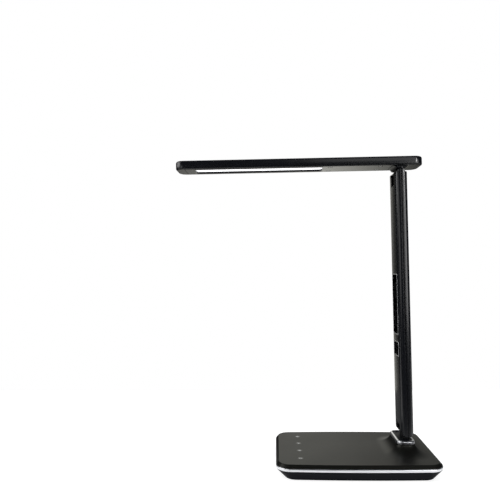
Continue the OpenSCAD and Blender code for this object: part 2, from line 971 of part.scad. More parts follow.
module at_high() {
    translate([arm_x, 0, pivot_high])
        mirror([0, 0, 1])
            children();
}

module yoke() {
    color(steel)
        difference() {
            union() {
                for (side = [-1, 1])
                    translate([0, side * (cheek_y + cheek_t / 2), 0])
                        across(cheek_t) {
                            circle(r = cheek_r);
                            translate([-cheek_r, 0])
                                square([2 * cheek_r, yoke_l]);
                        }
                translate([-cheek_r, -cheek_end, yoke_l - web_t])
                    cube([cheek_r + cavity_t / 2, 2 * cheek_end, web_t]);
            }
            bar_y(pin_r + pin_play, -cheek_end - cut, cheek_end + cut);
            for (y = [-1, 1])
                translate([0, y * yoke_screw_y, yoke_l - web_t / 2])
                    bar_x(screw_r + screw_play, -arm_t, arm_t);
        }
}

module pin() {
    color(steel) {
        bar_y(pin_r, -cheek_end, cheek_end + nut_t);
        bar_y(pin_head_r, -cheek_end - pin_head_t, -cheek_end);
    }
}

module washers() {
    color(copper)
        for (side = [-1, 1])
            translate([0, side * (washer_y + washer_t / 2), 0])
                difference() {
                    bar_y(cheek_r - cheek_gap, -washer_t / 2, washer_t / 2);
                    bar_y(pin_r + pin_play, -washer_t, washer_t);
                }
}

module nut() {
    color(steel)
        difference() {
            translate([0, cheek_end, 0])
                rotate([-90, 0, 0])
                    cylinder(r = nut_r, h = nut_t - pin_end, $fn = 6);
            bar_y(pin_r + pin_play, cheek_end - cut, cheek_end + nut_t + cut);
        }
}

module lower_yoke() {
    at_low()
        yoke();
}

module lower_pin() {
    at_low()
        pin();
}

module lower_washers() {
    at_low()
        washers();
}

module lower_nut() {
    at_low()
        nut();
}

module upper_yoke() {
    at_high()
        yoke();
}

module upper_pin() {
    at_high()
        pin();
}

module upper_washers() {
    at_high()
        washers();
}

module upper_nut() {
    at_high()
        nut();
}

module yoke_screws() {
    color(steel)
        yoke_screw_places()
            bar_x(screw_r, arm_x - cheek_r + screw_sink, inner_rear + yoke_bite);
}

// Clock keys

module clock_key(step) {
    color(black)
        key_places([step]) {
            bar_x(key_r, key_inner, arm_rear + key_proud);
            bar_x(key_collar_r, key_collar_x, key_collar_x + key_collar_t);
        }
}

module clock_key_set() {
    clock_key(1);
}

module clock_key_up() {
    clock_key(0);
}

module clock_key_down() {
    clock_key(-1);
}

// Head

module head_block() {
    intersection() {
        translate([head_mid, 0, head_z])
            linear_extrude(head_t)
                rounded_rect(head_l, head_w, head_corner_r);
        across(head_w + cut)
            translate([head_mid, head_z + head_t / 2])
                rounded_rect(head_l, head_t, head_end_r);
        translate([0, 0, head_z + head_t / 2])
            along_x(head_x0 - cut, head_x1 + cut)
                rounded_rect(head_w, head_t, head_edge_r);
    }
}

module cover_outline(grow) {
    translate([cover_mid, 0])
        rounded_rect(cover_l + 2 * grow, cover_w + 2 * grow, cover_r + grow);
}

module head_screw_places() {
    for (x = head_screw_xs, y = [-1, 1])
        translate([x, y * head_screw_y, 0])
            children();
}

module neck_screw_places() {
    translate([arm_x, 0, 0])
        corners(neck_screw_x, neck_screw_y)
            children();
}

module head_top_cover() {
    color(black)
        difference() {
            union() {
                difference() {
                    head_block();
                    translate([0, 0, head_z - cut])
                        linear_extrude(ceiling_z - head_z + cut)
                            cover_outline(cover_gap);
                }
                head_screw_places()
                    bar_z(post_r, cover_top + cover_pad_t, ceiling_z + head_wall / 2);
                neck_screw_places()
                    bar_z(post_r, cover_top + neck_plate_t, ceiling_z + head_wall / 2);
            }
            head_screw_places()
                bar_z(screw_r + screw_play / 2, head_z, ceiling_z);
            neck_screw_places()
                bar_z(screw_r + screw_play / 2, head_z, ceiling_z);
        }
}

module panel_outline(grow) {
    translate([panel_mid, 0])
        rounded_rect(panel_l + 2 * grow, panel_w + 2 * grow, panel_r + grow);
}

module neck_outline(grow) {
    translate([arm_x, 0])
        rounded_rect(tongue_t + 2 * neck_fillet + 2 * grow, neck_w + 2 * grow, neck_fillet + grow);
}

module head_bottom_cover() {
    color(black)
        difference() {
            union() {
                translate([0, 0, head_z])
                    linear_extrude(cover_t)
                        difference() {
                            cover_outline(0);
                            panel_outline(cover_gap);
                            neck_outline(cover_gap);
                        }
                head_screw_places()
                    bar_z(screw_head_r + boss_wall, head_z + cover_t / 2, cover_top + cover_pad_t);
            }
            head_screw_places() {
                bar_z(screw_head_r + screw_play, head_z - cut, head_z + screw_head_t);
                bar_z(screw_r + screw_play, head_z - cut, cover_top + cover_pad_t + cut);
            }
        }
}

module diffuser() {
    color(light_white) {
        translate([0, 0, head_z + panel_sink])
            linear_extrude(cover_t - panel_sink + panel_rim_t / 2)
                panel_outline(0);
        translate([0, 0, cover_top])
            linear_extrude(panel_rim_t)
                panel_outline(panel_rim);
    }
}

module light_guide() {
    color(clear_grey)
        translate([panel_mid, 0, guide_z + guide_t / 2])
            cube([panel_l, guide_w, guide_t], center = true);
}

module reflector_sheet() {
    color(light_white)
        translate([panel_mid, 0, sheet_z + sheet_t / 2])
            cube([panel_l, panel_w + 2 * panel_rim, sheet_t], center = true);
}

module led_boards() {
    color(light_white)
        for (side = [-1, 1])
            translate([panel_mid, side * (guide_w / 2 + led_d + led_board_t / 2), guide_z + guide_t / 2])
                cube([panel_l, led_board_t, guide_t], center = true);
}

module leds() {
    color("gold")
        for (i = [0:led_n - 1], side = [-1, 1])
            translate([panel_mid + (i - (led_n - 1) / 2) * led_pitch,
                    side * (guide_w / 2 + led_d / 2), guide_z + guide_t / 2])
                cube([led_l, led_d, led_h], center = true);
}

module heat_spreader() {
    color(steel)
        translate([panel_mid, 0, (spreader_z + ceiling_z) / 2])
            cube([panel_l + 2 * panel_rim, panel_w + 2 * panel_rim, ceiling_z - spreader_z], center = true);
}

// Neck profile: a leg that flares into the head with a fillet on each side
module neck_side() {
    foot = tongue_t / 2 + neck_fillet;
    difference() {
        translate([arm_x - foot, head_z - neck_fillet])
            square([2 * foot, neck_fillet + cover_t]);
        for (side = [-1, 1])
            translate([arm_x + side * foot, head_z - neck_fillet])
                circle(r = neck_fillet);
    }
}

module head_neck() {
    color(black)
        difference() {
            union() {
                tongue(pivot_high, pivot_high, head_z);
                across(tongue_w)
                    neck_side();
                intersection() {
                    across(neck_w)
                        neck_side();
                    translate([0, 0, neck_z])
                        linear_extrude(head_t)
                            neck_outline(0);
                }
                translate([arm_x - neck_plate_l / 2, -neck_plate_w / 2, cover_top])
                    cube([neck_plate_l, neck_plate_w, neck_plate_t]);
            }
            neck_screw_places()
                bar_z(screw_r + screw_play, cover_top - cut, cover_top + neck_plate_t + cut);
            neck_screw_places()
                bar_z(screw_head_r + screw_play, cover_top - cut, cover_top + screw_head_t);
        }
}

module neck_screws() {
    color(steel)
        neck_screw_places()
            screw_up(cover_top + screw_head_t, ceiling_z - tip_gap);
}

module head_screws() {
    color(steel)
        head_screw_places()
            screw_up(head_z + screw_head_t, ceiling_z - tip_gap);
}

base_pad();
base_bottom_shell();
base_trim();
base_top_cover();
ballast_plate();
control_board();
touch_contacts();
touch_windows();
power_inlet();
base_screws();
hinge_collar();
hinge_bracket();
bracket_screws();
arm_rear_shell();
arm_front_cover();
clock_bezel();
clock_lens();
clock_glass();
date_bezel();
date_lens();
date_glass();
clock_board();
arm_cable();
arm_screws();
lower_yoke();
lower_pin();
lower_washers();
lower_nut();
upper_yoke();
upper_pin();
upper_washers();
upper_nut();
yoke_screws();
clock_key_set();
clock_key_up();
clock_key_down();
head_top_cover();
head_bottom_cover();
diffuser();
light_guide();
reflector_sheet();
led_boards();
leds();
heat_spreader();
head_neck();
neck_screws();
head_screws();
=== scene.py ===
import json
import math

import bmesh
import bpy
from mathutils import Matrix, Vector

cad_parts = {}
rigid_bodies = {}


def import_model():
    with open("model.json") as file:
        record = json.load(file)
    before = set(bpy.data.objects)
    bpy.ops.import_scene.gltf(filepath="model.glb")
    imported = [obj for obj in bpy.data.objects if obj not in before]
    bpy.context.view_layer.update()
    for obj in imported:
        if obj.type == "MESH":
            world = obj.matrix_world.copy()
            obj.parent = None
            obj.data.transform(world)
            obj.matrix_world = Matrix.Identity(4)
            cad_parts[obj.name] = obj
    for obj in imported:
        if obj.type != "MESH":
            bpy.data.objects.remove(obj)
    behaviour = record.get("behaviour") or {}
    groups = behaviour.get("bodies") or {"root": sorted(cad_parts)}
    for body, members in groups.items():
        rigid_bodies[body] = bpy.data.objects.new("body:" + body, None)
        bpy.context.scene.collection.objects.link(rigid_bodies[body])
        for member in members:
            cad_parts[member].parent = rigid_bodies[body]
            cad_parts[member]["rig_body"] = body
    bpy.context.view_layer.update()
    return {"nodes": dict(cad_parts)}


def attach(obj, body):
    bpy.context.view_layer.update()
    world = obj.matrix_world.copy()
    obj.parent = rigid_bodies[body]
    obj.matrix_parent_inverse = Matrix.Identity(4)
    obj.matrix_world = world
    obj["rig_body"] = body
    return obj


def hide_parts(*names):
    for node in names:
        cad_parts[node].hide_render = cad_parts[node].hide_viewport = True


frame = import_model()
cad = frame["nodes"]
mm = 0.001


class Wire:  # a node socket that can be used in sums
    def __init__(self, tree, socket=None):
        self.tree = tree
        self.socket = socket

    def node(self, kind, settings=None, inputs=None, out=0):
        made = self.tree.nodes.new(kind)
        for name, value in (settings or {}).items():
            setattr(made, name, value)
        for key, value in (inputs or {}).items():
            if isinstance(value, Wire):
                self.tree.links.new(value.socket, made.inputs[key])
            else:
                made.inputs[key].default_value = value
        return Wire(self.tree, made.outputs[out])

    def math(self, operation, *values):
        return self.node("ShaderNodeMath", {"operation": operation}, dict(enumerate(values)))

    def __add__(self, other):
        return self.math("ADD", self, other)

    def __sub__(self, other):
        return self.math("SUBTRACT", self, other)

    def __rsub__(self, other):
        return self.math("SUBTRACT", other, self)

    def __mul__(self, other):
        return self.math("MULTIPLY", self, other)

    __radd__ = __add__
    __rmul__ = __mul__


# finishes: each paint function returns what changes over the surface

def speckle(place, scale, detail=2.0):
    return place.node("ShaderNodeTexNoise", None, {"Vector": place, "Scale": scale, "Detail": detail})


def stretched(place, scale):  # the same place, squeezed along each axis
    return place.node("ShaderNodeMapping", None, {"Vector": place, "Scale": scale})


def axisOf(place, letter):  # one coordinate of a place
    return place.node("ShaderNodeSeparateXYZ", None, {"Vector": place}, letter)


def blendColours(factor, dark, light):
    dark, light = (tone if isinstance(tone, Wire) else (*tone, 1) for tone in (dark, light))
    return factor.node("ShaderNodeMix", {"data_type": "RGBA"}, {0: factor, 6: dark, 7: light}, 2)


def span(value, low, high, toLow=0.0, toHigh=1.0):  # smooth step between two values
    return value.node(
        "ShaderNodeMapRange", {"interpolation_type": "SMOOTHSTEP"},
        {"Value": value, "From Min": low, "From Max": high, "To Min": toLow, "To Max": toHigh})


def relief(height, strength, depth):
    return height.node("ShaderNodeBump", None, {"Strength": strength, "Distance": depth, "Height": height})


def makeFinish(name, paint, fixed):
    finish = bpy.data.materials.new(name)
    finish.use_nodes = True
    tree = finish.node_tree
    shader = tree.nodes["Principled BSDF"]
    for socket, value in fixed.items():
        shader.inputs[socket].default_value = value
    place = Wire(tree).node("ShaderNodeTexCoord", out="Object")
    for socket, wire in paint(place).items():
        tree.links.new(wire.socket, shader.inputs[socket])
    return finish


def satinBlackLook(place):
    grain = speckle(place, 2400)
    handling = speckle(place, 26, 3)
    colour = blendColours(handling, (0.0040, 0.0045, 0.0060), (0.0065, 0.0070, 0.0090))
    return grain, colour, 0.14 + 0.08 * handling + 0.04 * grain


def paintSatinBlack(place):
    grain, colour, rough = satinBlackLook(place)
    return {"Base Color": colour, "Roughness": rough, "Normal": relief(grain, 0.08, 0.012 * mm)}


def paintMouldedBlack(place):  # duller, for the base's shell, the neck and the rails
    grain, colour, rough = satinBlackLook(place)
    return {"Base Color": colour, "Roughness": 0.16 + rough, "Normal": relief(grain, 0.16, 0.02 * mm)}


def crownedBlack(place, crown):  # the same satin on a face that bulges slightly
    grain, colour, rough = satinBlackLook(place)
    return {"Base Color": colour, "Roughness": rough, "Normal": relief(crown + grainHeight * grain, 1.0, 1.0)}


def paintArmBlack(place):  # crowned across the arm's width
    side = axisOf(place, "Y")
    return crownedBlack(place, -armCrown * side * side)


def paintHeadBlack(place):  # crowned over the height of the head's sides
    up = axisOf(place, "Z") - headMiddle
    return crownedBlack(place, -headCrown * up * up)


def paintTexturedBlack(place):
    pebble = place.node("ShaderNodeTexVoronoi", None, {"Vector": place, "Scale": 1500})
    grain = speckle(place, 3000)
    cloud = speckle(place, 18, 4)
    return {
        "Base Color": blendColours(cloud, (0.0020, 0.0020, 0.0018), (0.0036, 0.0036, 0.0032)),
        "Roughness": 0.34 + 0.08 * cloud + 0.05 * grain,
        "Normal": relief(pebble + 0.5 * grain, 0.15, 0.02 * mm),
    }


def paintSatinSilver(place):
    fine = speckle(place, 3200)
    cloud = speckle(place, 40, 3)
    return {
        "Base Color": blendColours(cloud, (0.74, 0.75, 0.78), (0.84, 0.85, 0.87)),
        "Roughness": 0.24 + 0.08 * cloud + 0.08 * fine,
        "Normal": relief(fine, 0.08, 0.01 * mm),
    }


def paintCollarSilverPaintedShade(place):  # the same silver with painted shade: darker low down towards the mound, kept bright on the rim and along the front
    look = paintSatinSilver(place)
    # light marks the rim and the front, which keep the silver; elsewhere the colour darkens as painted shade
    light = span(axisOf(place, "Z"), 0.0266, 0.0283) + span(axisOf(place, "X"), 0.0465, 0.0495, 1.0, 0.0)
    look["Base Color"] = blendColours(light, (0.16, 0.16, 0.17), (0.86, 0.87, 0.90))
    return look


def paintBrushedBand(place):
    run = place.node("ShaderNodeAttribute", {"attribute_name": "run"}, out="Fac")
    streakPlace = place.node("ShaderNodeCombineXYZ", None, {"X": run * 40, "Y": axisOf(place, "Z") * 5200})
    streak = speckle(streakPlace, 1.0, 3)
    cloud = speckle(place, 40, 3)
    return {
        "Base Color": blendColours(streak, (0.76, 0.77, 0.80), (0.86, 0.87, 0.89)),
        "Roughness": 0.26 + 0.1 * streak + 0.05 * cloud,
        "Normal": relief(streak, 0.1, 0.01 * mm),
    }


def paintGlossLens(place):
    smudge = span(speckle(place, 90, 4), 0.45, 0.75)
    return {
        "Base Color": blendColours(smudge, (0.030, 0.031, 0.034), (0.038, 0.039, 0.041)),
        "Roughness": 0.05 + 0.09 * smudge,
    }


def paintLitPanel(place):
    dots = place.node("ShaderNodeTexVoronoi", None, {"Vector": place, "Scale": 620, "Randomness": 0.0})
    cloud = speckle(place, 14, 2)
    return {
        "Base Color": blendColours(cloud, (0.90, 0.91, 0.92), (0.95, 0.95, 0.95)),
        "Roughness": 0.5 + 0.12 * cloud,
        "Emission Color": blendColours(span(dots, 0.1, 0.5), (1.0, 1.0, 1.0), (0.955, 0.965, 0.98)),
        "Normal": relief(dots, 0.05, 0.02 * mm),
    }


def paintRubber(place):
    crumb = speckle(place, 1900, 4)
    dust = span(speckle(place, 60, 5), 0.5, 0.8)
    return {
        "Base Color": blendColours(dust, (0.014, 0.014, 0.015), (0.045, 0.044, 0.042)),
        "Roughness": 0.72 + 0.2 * crumb,
        "Normal": relief(crumb, 0.35, 0.05 * mm),
    }


def steelLook(place, dark, light, rough, drag):
    streak = speckle(stretched(place, (4000, 60, 4000)), 1.0, 3)
    stain = speckle(place, 120, 4)
    return {
        "Base Color": blendColours(stain, dark, light),
        "Roughness": rough + drag * streak + 0.08 * stain,
        "Normal": relief(streak, 0.1, 0.01 * mm),
    }


def paintSteel(place):
    return steelLook(place, (0.50, 0.50, 0.51), (0.62, 0.62, 0.63), 0.26, 0.16)


def paintBlackOxide(place):  # blackened steel of the hinge leg, yokes and washers
    return steelLook(place, (0.006, 0.006, 0.007), (0.012, 0.012, 0.013), 0.34, 0.14)


def paintBallast(place):
    scale = speckle(place, 55, 6)
    pits = speckle(place, 700, 3)
    return {
        "Base Color": blendColours(span(scale, 0.35, 0.65), (0.20, 0.20, 0.21), (0.36, 0.35, 0.34)),
        "Roughness": 0.42 + 0.2 * scale,
        "Normal": relief(pits + 2 * scale, 0.3, 0.05 * mm),
    }


def paintBoard(place):
    tracks = place.node(
        "ShaderNodeTexBrick", {"offset": 0.37},
        {"Vector": place, "Scale": 420, "Mortar Size": 0.06, "Color1": (0, 0, 0, 1), "Color2": (0, 0, 0, 1),
         "Mortar": (1, 1, 1, 1)}, "Fac")
    pads = place.node("ShaderNodeTexVoronoi", None, {"Vector": place, "Scale": 260})
    padMask = span(pads, 0.16, 0.2, 1.0, 0.0)
    mask = blendColours(tracks, (0.012, 0.085, 0.04), (0.03, 0.16, 0.075))
    return {
        "Base Color": blendColours(padMask, mask, (0.75, 0.6, 0.3)),
        "Metallic": 0.9 * padMask,
        "Roughness": 0.38 - 0.1 * padMask,
        "Normal": relief(tracks + padMask, 0.3, 0.03 * mm),
    }


def paintBrass(place):
    streak = speckle(stretched(place, (900, 900, 90)), 1.0, 3)
    tarnish = speckle(place, 300, 4)
    return {
        "Base Color": blendColours(tarnish, (0.62, 0.42, 0.17), (0.80, 0.60, 0.30)),
        "Roughness": 0.22 + 0.2 * streak,
        "Normal": relief(streak, 0.08, 0.01 * mm),
    }


def paintTouchDisc(place):
    fine = speckle(place, 1600)
    haze = speckle(place, 90, 3)
    return {
        "Base Color": blendColours(haze, (0.030, 0.030, 0.028), (0.042, 0.042, 0.039)),
        "Roughness": 0.3 + 0.1 * haze + 0.05 * fine,
        "Normal": relief(fine, 0.06, 0.01 * mm),
    }


def paintTouchMark(place):
    ink = speckle(place, 900, 3)
    return {
        "Base Color": blendColours(ink, (0.30, 0.31, 0.31), (0.42, 0.43, 0.43)),
        "Roughness": 0.4 + 0.15 * ink,
        "Emission Color": blendColours(ink, (0.50, 0.52, 0.52), (0.62, 0.64, 0.64)),
    }


def paintSegments(place):
    film = speckle(place, 500, 3)
    return {
        "Base Color": blendColours(film, (0.010, 0.010, 0.011), (0.015, 0.015, 0.016)),
        "Roughness": 0.24 + 0.1 * film,
    }


def paintCable(place):
    side = axisOf(place, "Y") * 1000
    lane = side.math("PINGPONG", side, 0.5)
    scuff = speckle(place, 200, 4)
    return {
        "Base Color": blendColours(span(lane, 0.05, 0.2), (0.10, 0.10, 0.11), (0.30, 0.30, 0.31)),
        "Roughness": 0.45 + 0.2 * scuff,
        "Normal": relief(lane, 0.5, 0.2 * mm),
    }


def paintGuide(place):
    dots = place.node("ShaderNodeTexVoronoi", None, {"Vector": place, "Scale": 700, "Randomness": 0.0})
    return {
        "Base Color": blendColours(span(dots, 0.15, 0.25), (0.97, 0.97, 0.97), (0.86, 0.90, 0.91)),
        "Roughness": span(dots, 0.15, 0.25, 0.6, 0.05),
    }


def paintFilm(place):
    weave = speckle(place, 1200, 3)
    return {
        "Base Color": blendColours(weave, (0.88, 0.89, 0.90), (0.95, 0.95, 0.95)),
        "Roughness": 0.3 + 0.2 * weave,
    }


def paintPhosphor(place):
    crumb = speckle(place, 2500, 3)
    return {
        "Base Color": blendColours(crumb, (0.85, 0.62, 0.10), (0.98, 0.82, 0.30)),
        "Roughness": 0.35 + 0.25 * crumb,
    }


def paintSpreader(place):
    roll = speckle(stretched(place, (30, 3000, 3000)), 1.0, 3)
    return {
        "Base Color": blendColours(roll, (0.66, 0.67, 0.68), (0.80, 0.81, 0.82)),
        "Roughness": 0.3 + 0.2 * roll,
        "Normal": relief(roll, 0.1, 0.01 * mm),
    }


armCrown = 2.7  # per metre: about 4 degrees at the edges of the arm's face
headCrown, headMiddle = 16.0, 0.3240  # about 6 degrees at the edges of the head's sides
grainHeight = 0.000001  # metres, on the crowned faces
metal = {"Metallic": 1.0}
satinBlack = makeFinish("satinBlack", paintSatinBlack, {"Specular IOR Level": 0.5})
mouldedBlack = makeFinish("mouldedBlack", paintMouldedBlack, {"Specular IOR Level": 0.08})
armBlack = makeFinish("armBlack", paintArmBlack, {"Specular IOR Level": 0.5})
headBlack = makeFinish("headBlack", paintHeadBlack, {"Specular IOR Level": 0.5})
texturedBlack = makeFinish("texturedBlack", paintTexturedBlack,
                           {"Specular IOR Level": 0.25, "Specular Tint": (1.0, 1.0, 0.9, 1)})
satinSilver = makeFinish("satinSilver", paintSatinSilver, metal)
# silver with painted shade on the collar's lower part
collarSilverPaintedShade = makeFinish("collarSilverPaintedShade", paintCollarSilverPaintedShade, metal)
brushedBand = makeFinish("brushedBand", paintBrushedBand, metal)
glossLens = makeFinish("glossLens", paintGlossLens, {"Metallic": 1.0, "Specular Tint": (0.05, 0.05, 0.06, 1)})
litPanel = makeFinish("litPanel", paintLitPanel, {"Emission Strength": 1.15})
rubber = makeFinish("rubber", paintRubber, {"Specular IOR Level": 0.3})
steel = makeFinish("steel", paintSteel, metal)
blackOxide = makeFinish("blackOxide", paintBlackOxide, {"Specular IOR Level": 0.2})
ballast = makeFinish("ballast", paintBallast, {"Metallic": 0.8})
board = makeFinish("board", paintBoard, {"Specular IOR Level": 0.5})
brass = makeFinish("brass", paintBrass, metal)
touchDisc = makeFinish("touchDisc", paintTouchDisc, {"Specular IOR Level": 0.35})
touchMark = makeFinish("touchMark", paintTouchMark, {"Emission Strength": 0.1})
segmentInk = makeFinish("segmentInk", paintSegments, {"Specular IOR Level": 0.0})
cableJacket = makeFinish("cableJacket", paintCable, {"Specular IOR Level": 0.4})
clearGuide = makeFinish("clearGuide", paintGuide, {"Transmission Weight": 0.85, "IOR": 1.49})
reflectorFilm = makeFinish("reflectorFilm", paintFilm, {"Specular IOR Level": 0.5})
phosphor = makeFinish("phosphor", paintPhosphor, {"Emission Strength": 0.0})
spreader = makeFinish("spreader", paintSpreader, metal)
print("finishes made:", len(bpy.data.materials))


# mesh helpers, all in millimetres

def roundedRect(length, width, radius, centre=(0, 0), steps=10):
    points = []
    for turn, (sx, sy) in enumerate(((1, 1), (-1, 1), (-1, -1), (1, -1))):
        for k in range(steps + 1):
            angle = math.radians(90 * (turn + k / steps))
            points.append((centre[0] + sx * (length / 2 - radius) + radius * math.cos(angle),
                           centre[1] + sy * (width / 2 - radius) + radius * math.sin(angle)))
    return points


def roundCorners(points, radii, steps=5):  # a profile with its corners rounded
    out = []
    for i, (point, radius) in enumerate(zip(points, radii)):
        here = Vector(point)
        if not radius:
            out.append(here)
            continue
        toLast = (Vector(points[i - 1]) - here).normalized()
        toNext = (Vector(points[(i + 1) % len(points)]) - here).normalized()
        half = toLast.angle(toNext) / 2
        centre = here + (toLast + toNext).normalized() * radius / math.sin(half)
        start = here + toLast * radius / math.tan(half) - centre
        end = here + toNext * radius / math.tan(half) - centre
        sweep = start.angle(end)
        for k in range(steps + 1):
            share = k / steps
            spoke = start * math.sin((1 - share) * sweep) + end * math.sin(share * sweep)
            out.append(centre + spoke / math.sin(sweep))
    return out


def level(outline, z):  # an outline lying flat at a height
    return [(x, y, z) for x, y in outline]


def loft(rings, closed=False):  # closed joins the last ring to the first, otherwise both ends get a cap
    bm = bmesh.new()
    rows = [[bm.verts.new(Vector(p) * mm) for p in ring] for ring in rings]
    for low, high in zip(rows, rows[1:] + rows[:1] if closed else rows[1:]):
        for i, corner in enumerate(low):
            j = (i + 1) % len(low)
            bm.faces.new((corner, low[j], high[j], high[i]))
    if not closed:
        bm.faces.new(rows[0])
        bm.faces.new(rows[-1])
    bmesh.ops.recalc_face_normals(bm, faces=bm.faces)
    return bm


def lathe(profile, axis, centre, steps=40, closed=False):  # profile of (radius, distance along the axis)
    rings = []
    for radius, along in profile:
        ring = []
        for k in range(steps):
            a = 2 * math.pi * k / steps
            side = (radius * math.cos(a), radius * math.sin(a))
            spot = {"x": (along, *side), "y": (side[1], along, side[0]), "z": (*side, along)}[axis]
            ring.append(Vector(centre) + Vector(spot))
        rings.append(ring)
    return loft(rings, closed)


def joined(parts):
    whole = bmesh.new()
    for part in parts:
        mesh = bpy.data.meshes.new("part")
        part.to_mesh(mesh)
        part.free()
        whole.from_mesh(mesh)
        bpy.data.meshes.remove(mesh)
    return whole


def camelName(node):  # lower_pin becomes lowerPin
    first, *rest = node.split("_")
    return first + "".join(word.title() for word in rest)


def addPiece(name, bm, finish, body, nodes=(), sharp=38):
    mesh = bpy.data.meshes.new(name)
    bm.to_mesh(mesh)
    bm.free()
    mesh.materials.clear()
    mesh.materials.append(finish)
    mesh.shade_smooth()
    mesh.set_sharp_from_angle(angle=math.radians(sharp))
    piece = bpy.data.objects.new(name, mesh)
    bpy.context.scene.collection.objects.link(piece)
    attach(piece, body)
    if nodes:
        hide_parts(*nodes)
    return piece


def smoothEdges(piece):  # large faces keep their own normals beside rounded edges
    piece.modifiers.new("faceNormals", "WEIGHTED_NORMAL").keep_sharp = True
    return piece


def softened(name, node, finish, width, weigh=None, segments=3):  # a node with its edges broken
    bm = bmesh.new()
    bm.from_mesh(cad[node].data)
    bmesh.ops.remove_doubles(bm, verts=bm.verts, dist=0.002 * mm)
    bmesh.ops.dissolve_limit(bm, angle_limit=math.radians(0.5), verts=bm.verts, edges=bm.edges)
    weights = bm.edges.layers.float.new("bevel_weight_edge")
    for edge in bm.edges:
        if len(edge.link_faces) == 2 and edge.calc_face_angle() > math.radians(30):
            middle = (edge.verts[0].co + edge.verts[1].co) / 2 / mm
            edge[weights] = weigh(middle) if weigh else 1.0
    piece = addPiece(name, bm, finish, cad[node]["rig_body"], [node], 30)
    bevel = piece.modifiers.new("brokenEdges", "BEVEL")
    bevel.limit_method = "WEIGHT"
    bevel.width = width * mm
    bevel.segments = segments
    bevel.use_clamp_overlap = False
    return smoothEdges(piece)


# Geometry Nodes helpers

def startTree(name, inputs):
    tree = bpy.data.node_groups.new(name, "GeometryNodeTree")
    tree.interface.new_socket("Geometry", in_out="INPUT", socket_type="NodeSocketGeometry")
    for label, kind in inputs.items():
        tree.interface.new_socket(label, in_out="INPUT", socket_type="NodeSocket" + kind)
    tree.interface.new_socket("Geometry", in_out="OUTPUT", socket_type="NodeSocketGeometry")
    source = tree.nodes.new("NodeGroupInput")
    return {socket.name: Wire(tree, socket) for socket in source.outputs if socket.name}


def endTree(shape, finish):
    real = shape.node("GeometryNodeRealizeInstances", None, {"Geometry": shape})
    dressed = shape.node("GeometryNodeSetMaterial", None, {"Geometry": real, "Material": finish})
    target = shape.tree.nodes.new("NodeGroupOutput")
    shape.tree.links.new(dressed.socket, target.inputs["Geometry"])
    return shape.tree


def runTree(tree, points, edges, faces, sizes):  # the tree's result as a plain mesh
    mesh = bpy.data.meshes.new("seed")
    mesh.from_pydata([Vector(p) * mm for p in points], edges, faces)
    holder = bpy.data.objects.new("seed", mesh)
    bpy.context.scene.collection.objects.link(holder)
    modifier = holder.modifiers.new("nodes", "NODES")
    modifier.node_group = tree
    for item in tree.interface.items_tree:
        if item.item_type == "SOCKET" and item.in_out == "INPUT" and item.name in sizes:
            modifier[item.identifier] = sizes[item.name]
    scope = bpy.context.evaluated_depsgraph_get()
    made = bpy.data.meshes.new_from_object(
        holder.evaluated_get(scope), preserve_all_data_layers=True, depsgraph=scope)
    bpy.data.objects.remove(holder)
    bm = bmesh.new()
    bm.from_mesh(made)
    bpy.data.meshes.remove(made)
    return bm


def bandTree():  # a rounded bar swept round a closed loop of edges
    put = startTree("roundedBand", {"Across": "Float", "Along Normal": "Float", "Edge Radius": "Float",
                                    "Edge Steps": "Int", "Finish": "Material"})
    loop = put["Geometry"].node("GeometryNodeMeshToCurve", None, {"Mesh": put["Geometry"]})
    length = loop.node("GeometryNodeSplineParameter", out="Length")
    loop = loop.node("GeometryNodeStoreNamedAttribute", {"data_type": "FLOAT", "domain": "POINT"},
                     {"Geometry": loop, "Name": "run", "Value": length})
    bar = loop.node("GeometryNodeCurvePrimitiveQuadrilateral", {"mode": "RECTANGLE"},
                    {"Width": put["Along Normal"], "Height": put["Across"]})
    bar = bar.node("GeometryNodeFilletCurve", {"mode": "POLY"},
                   {"Curve": bar, "Count": put["Edge Steps"], "Radius": put["Edge Radius"]})
    swept = loop.node("GeometryNodeCurveToMesh", None, {"Curve": loop, "Profile Curve": bar})
    return endTree(swept, put["Finish"])


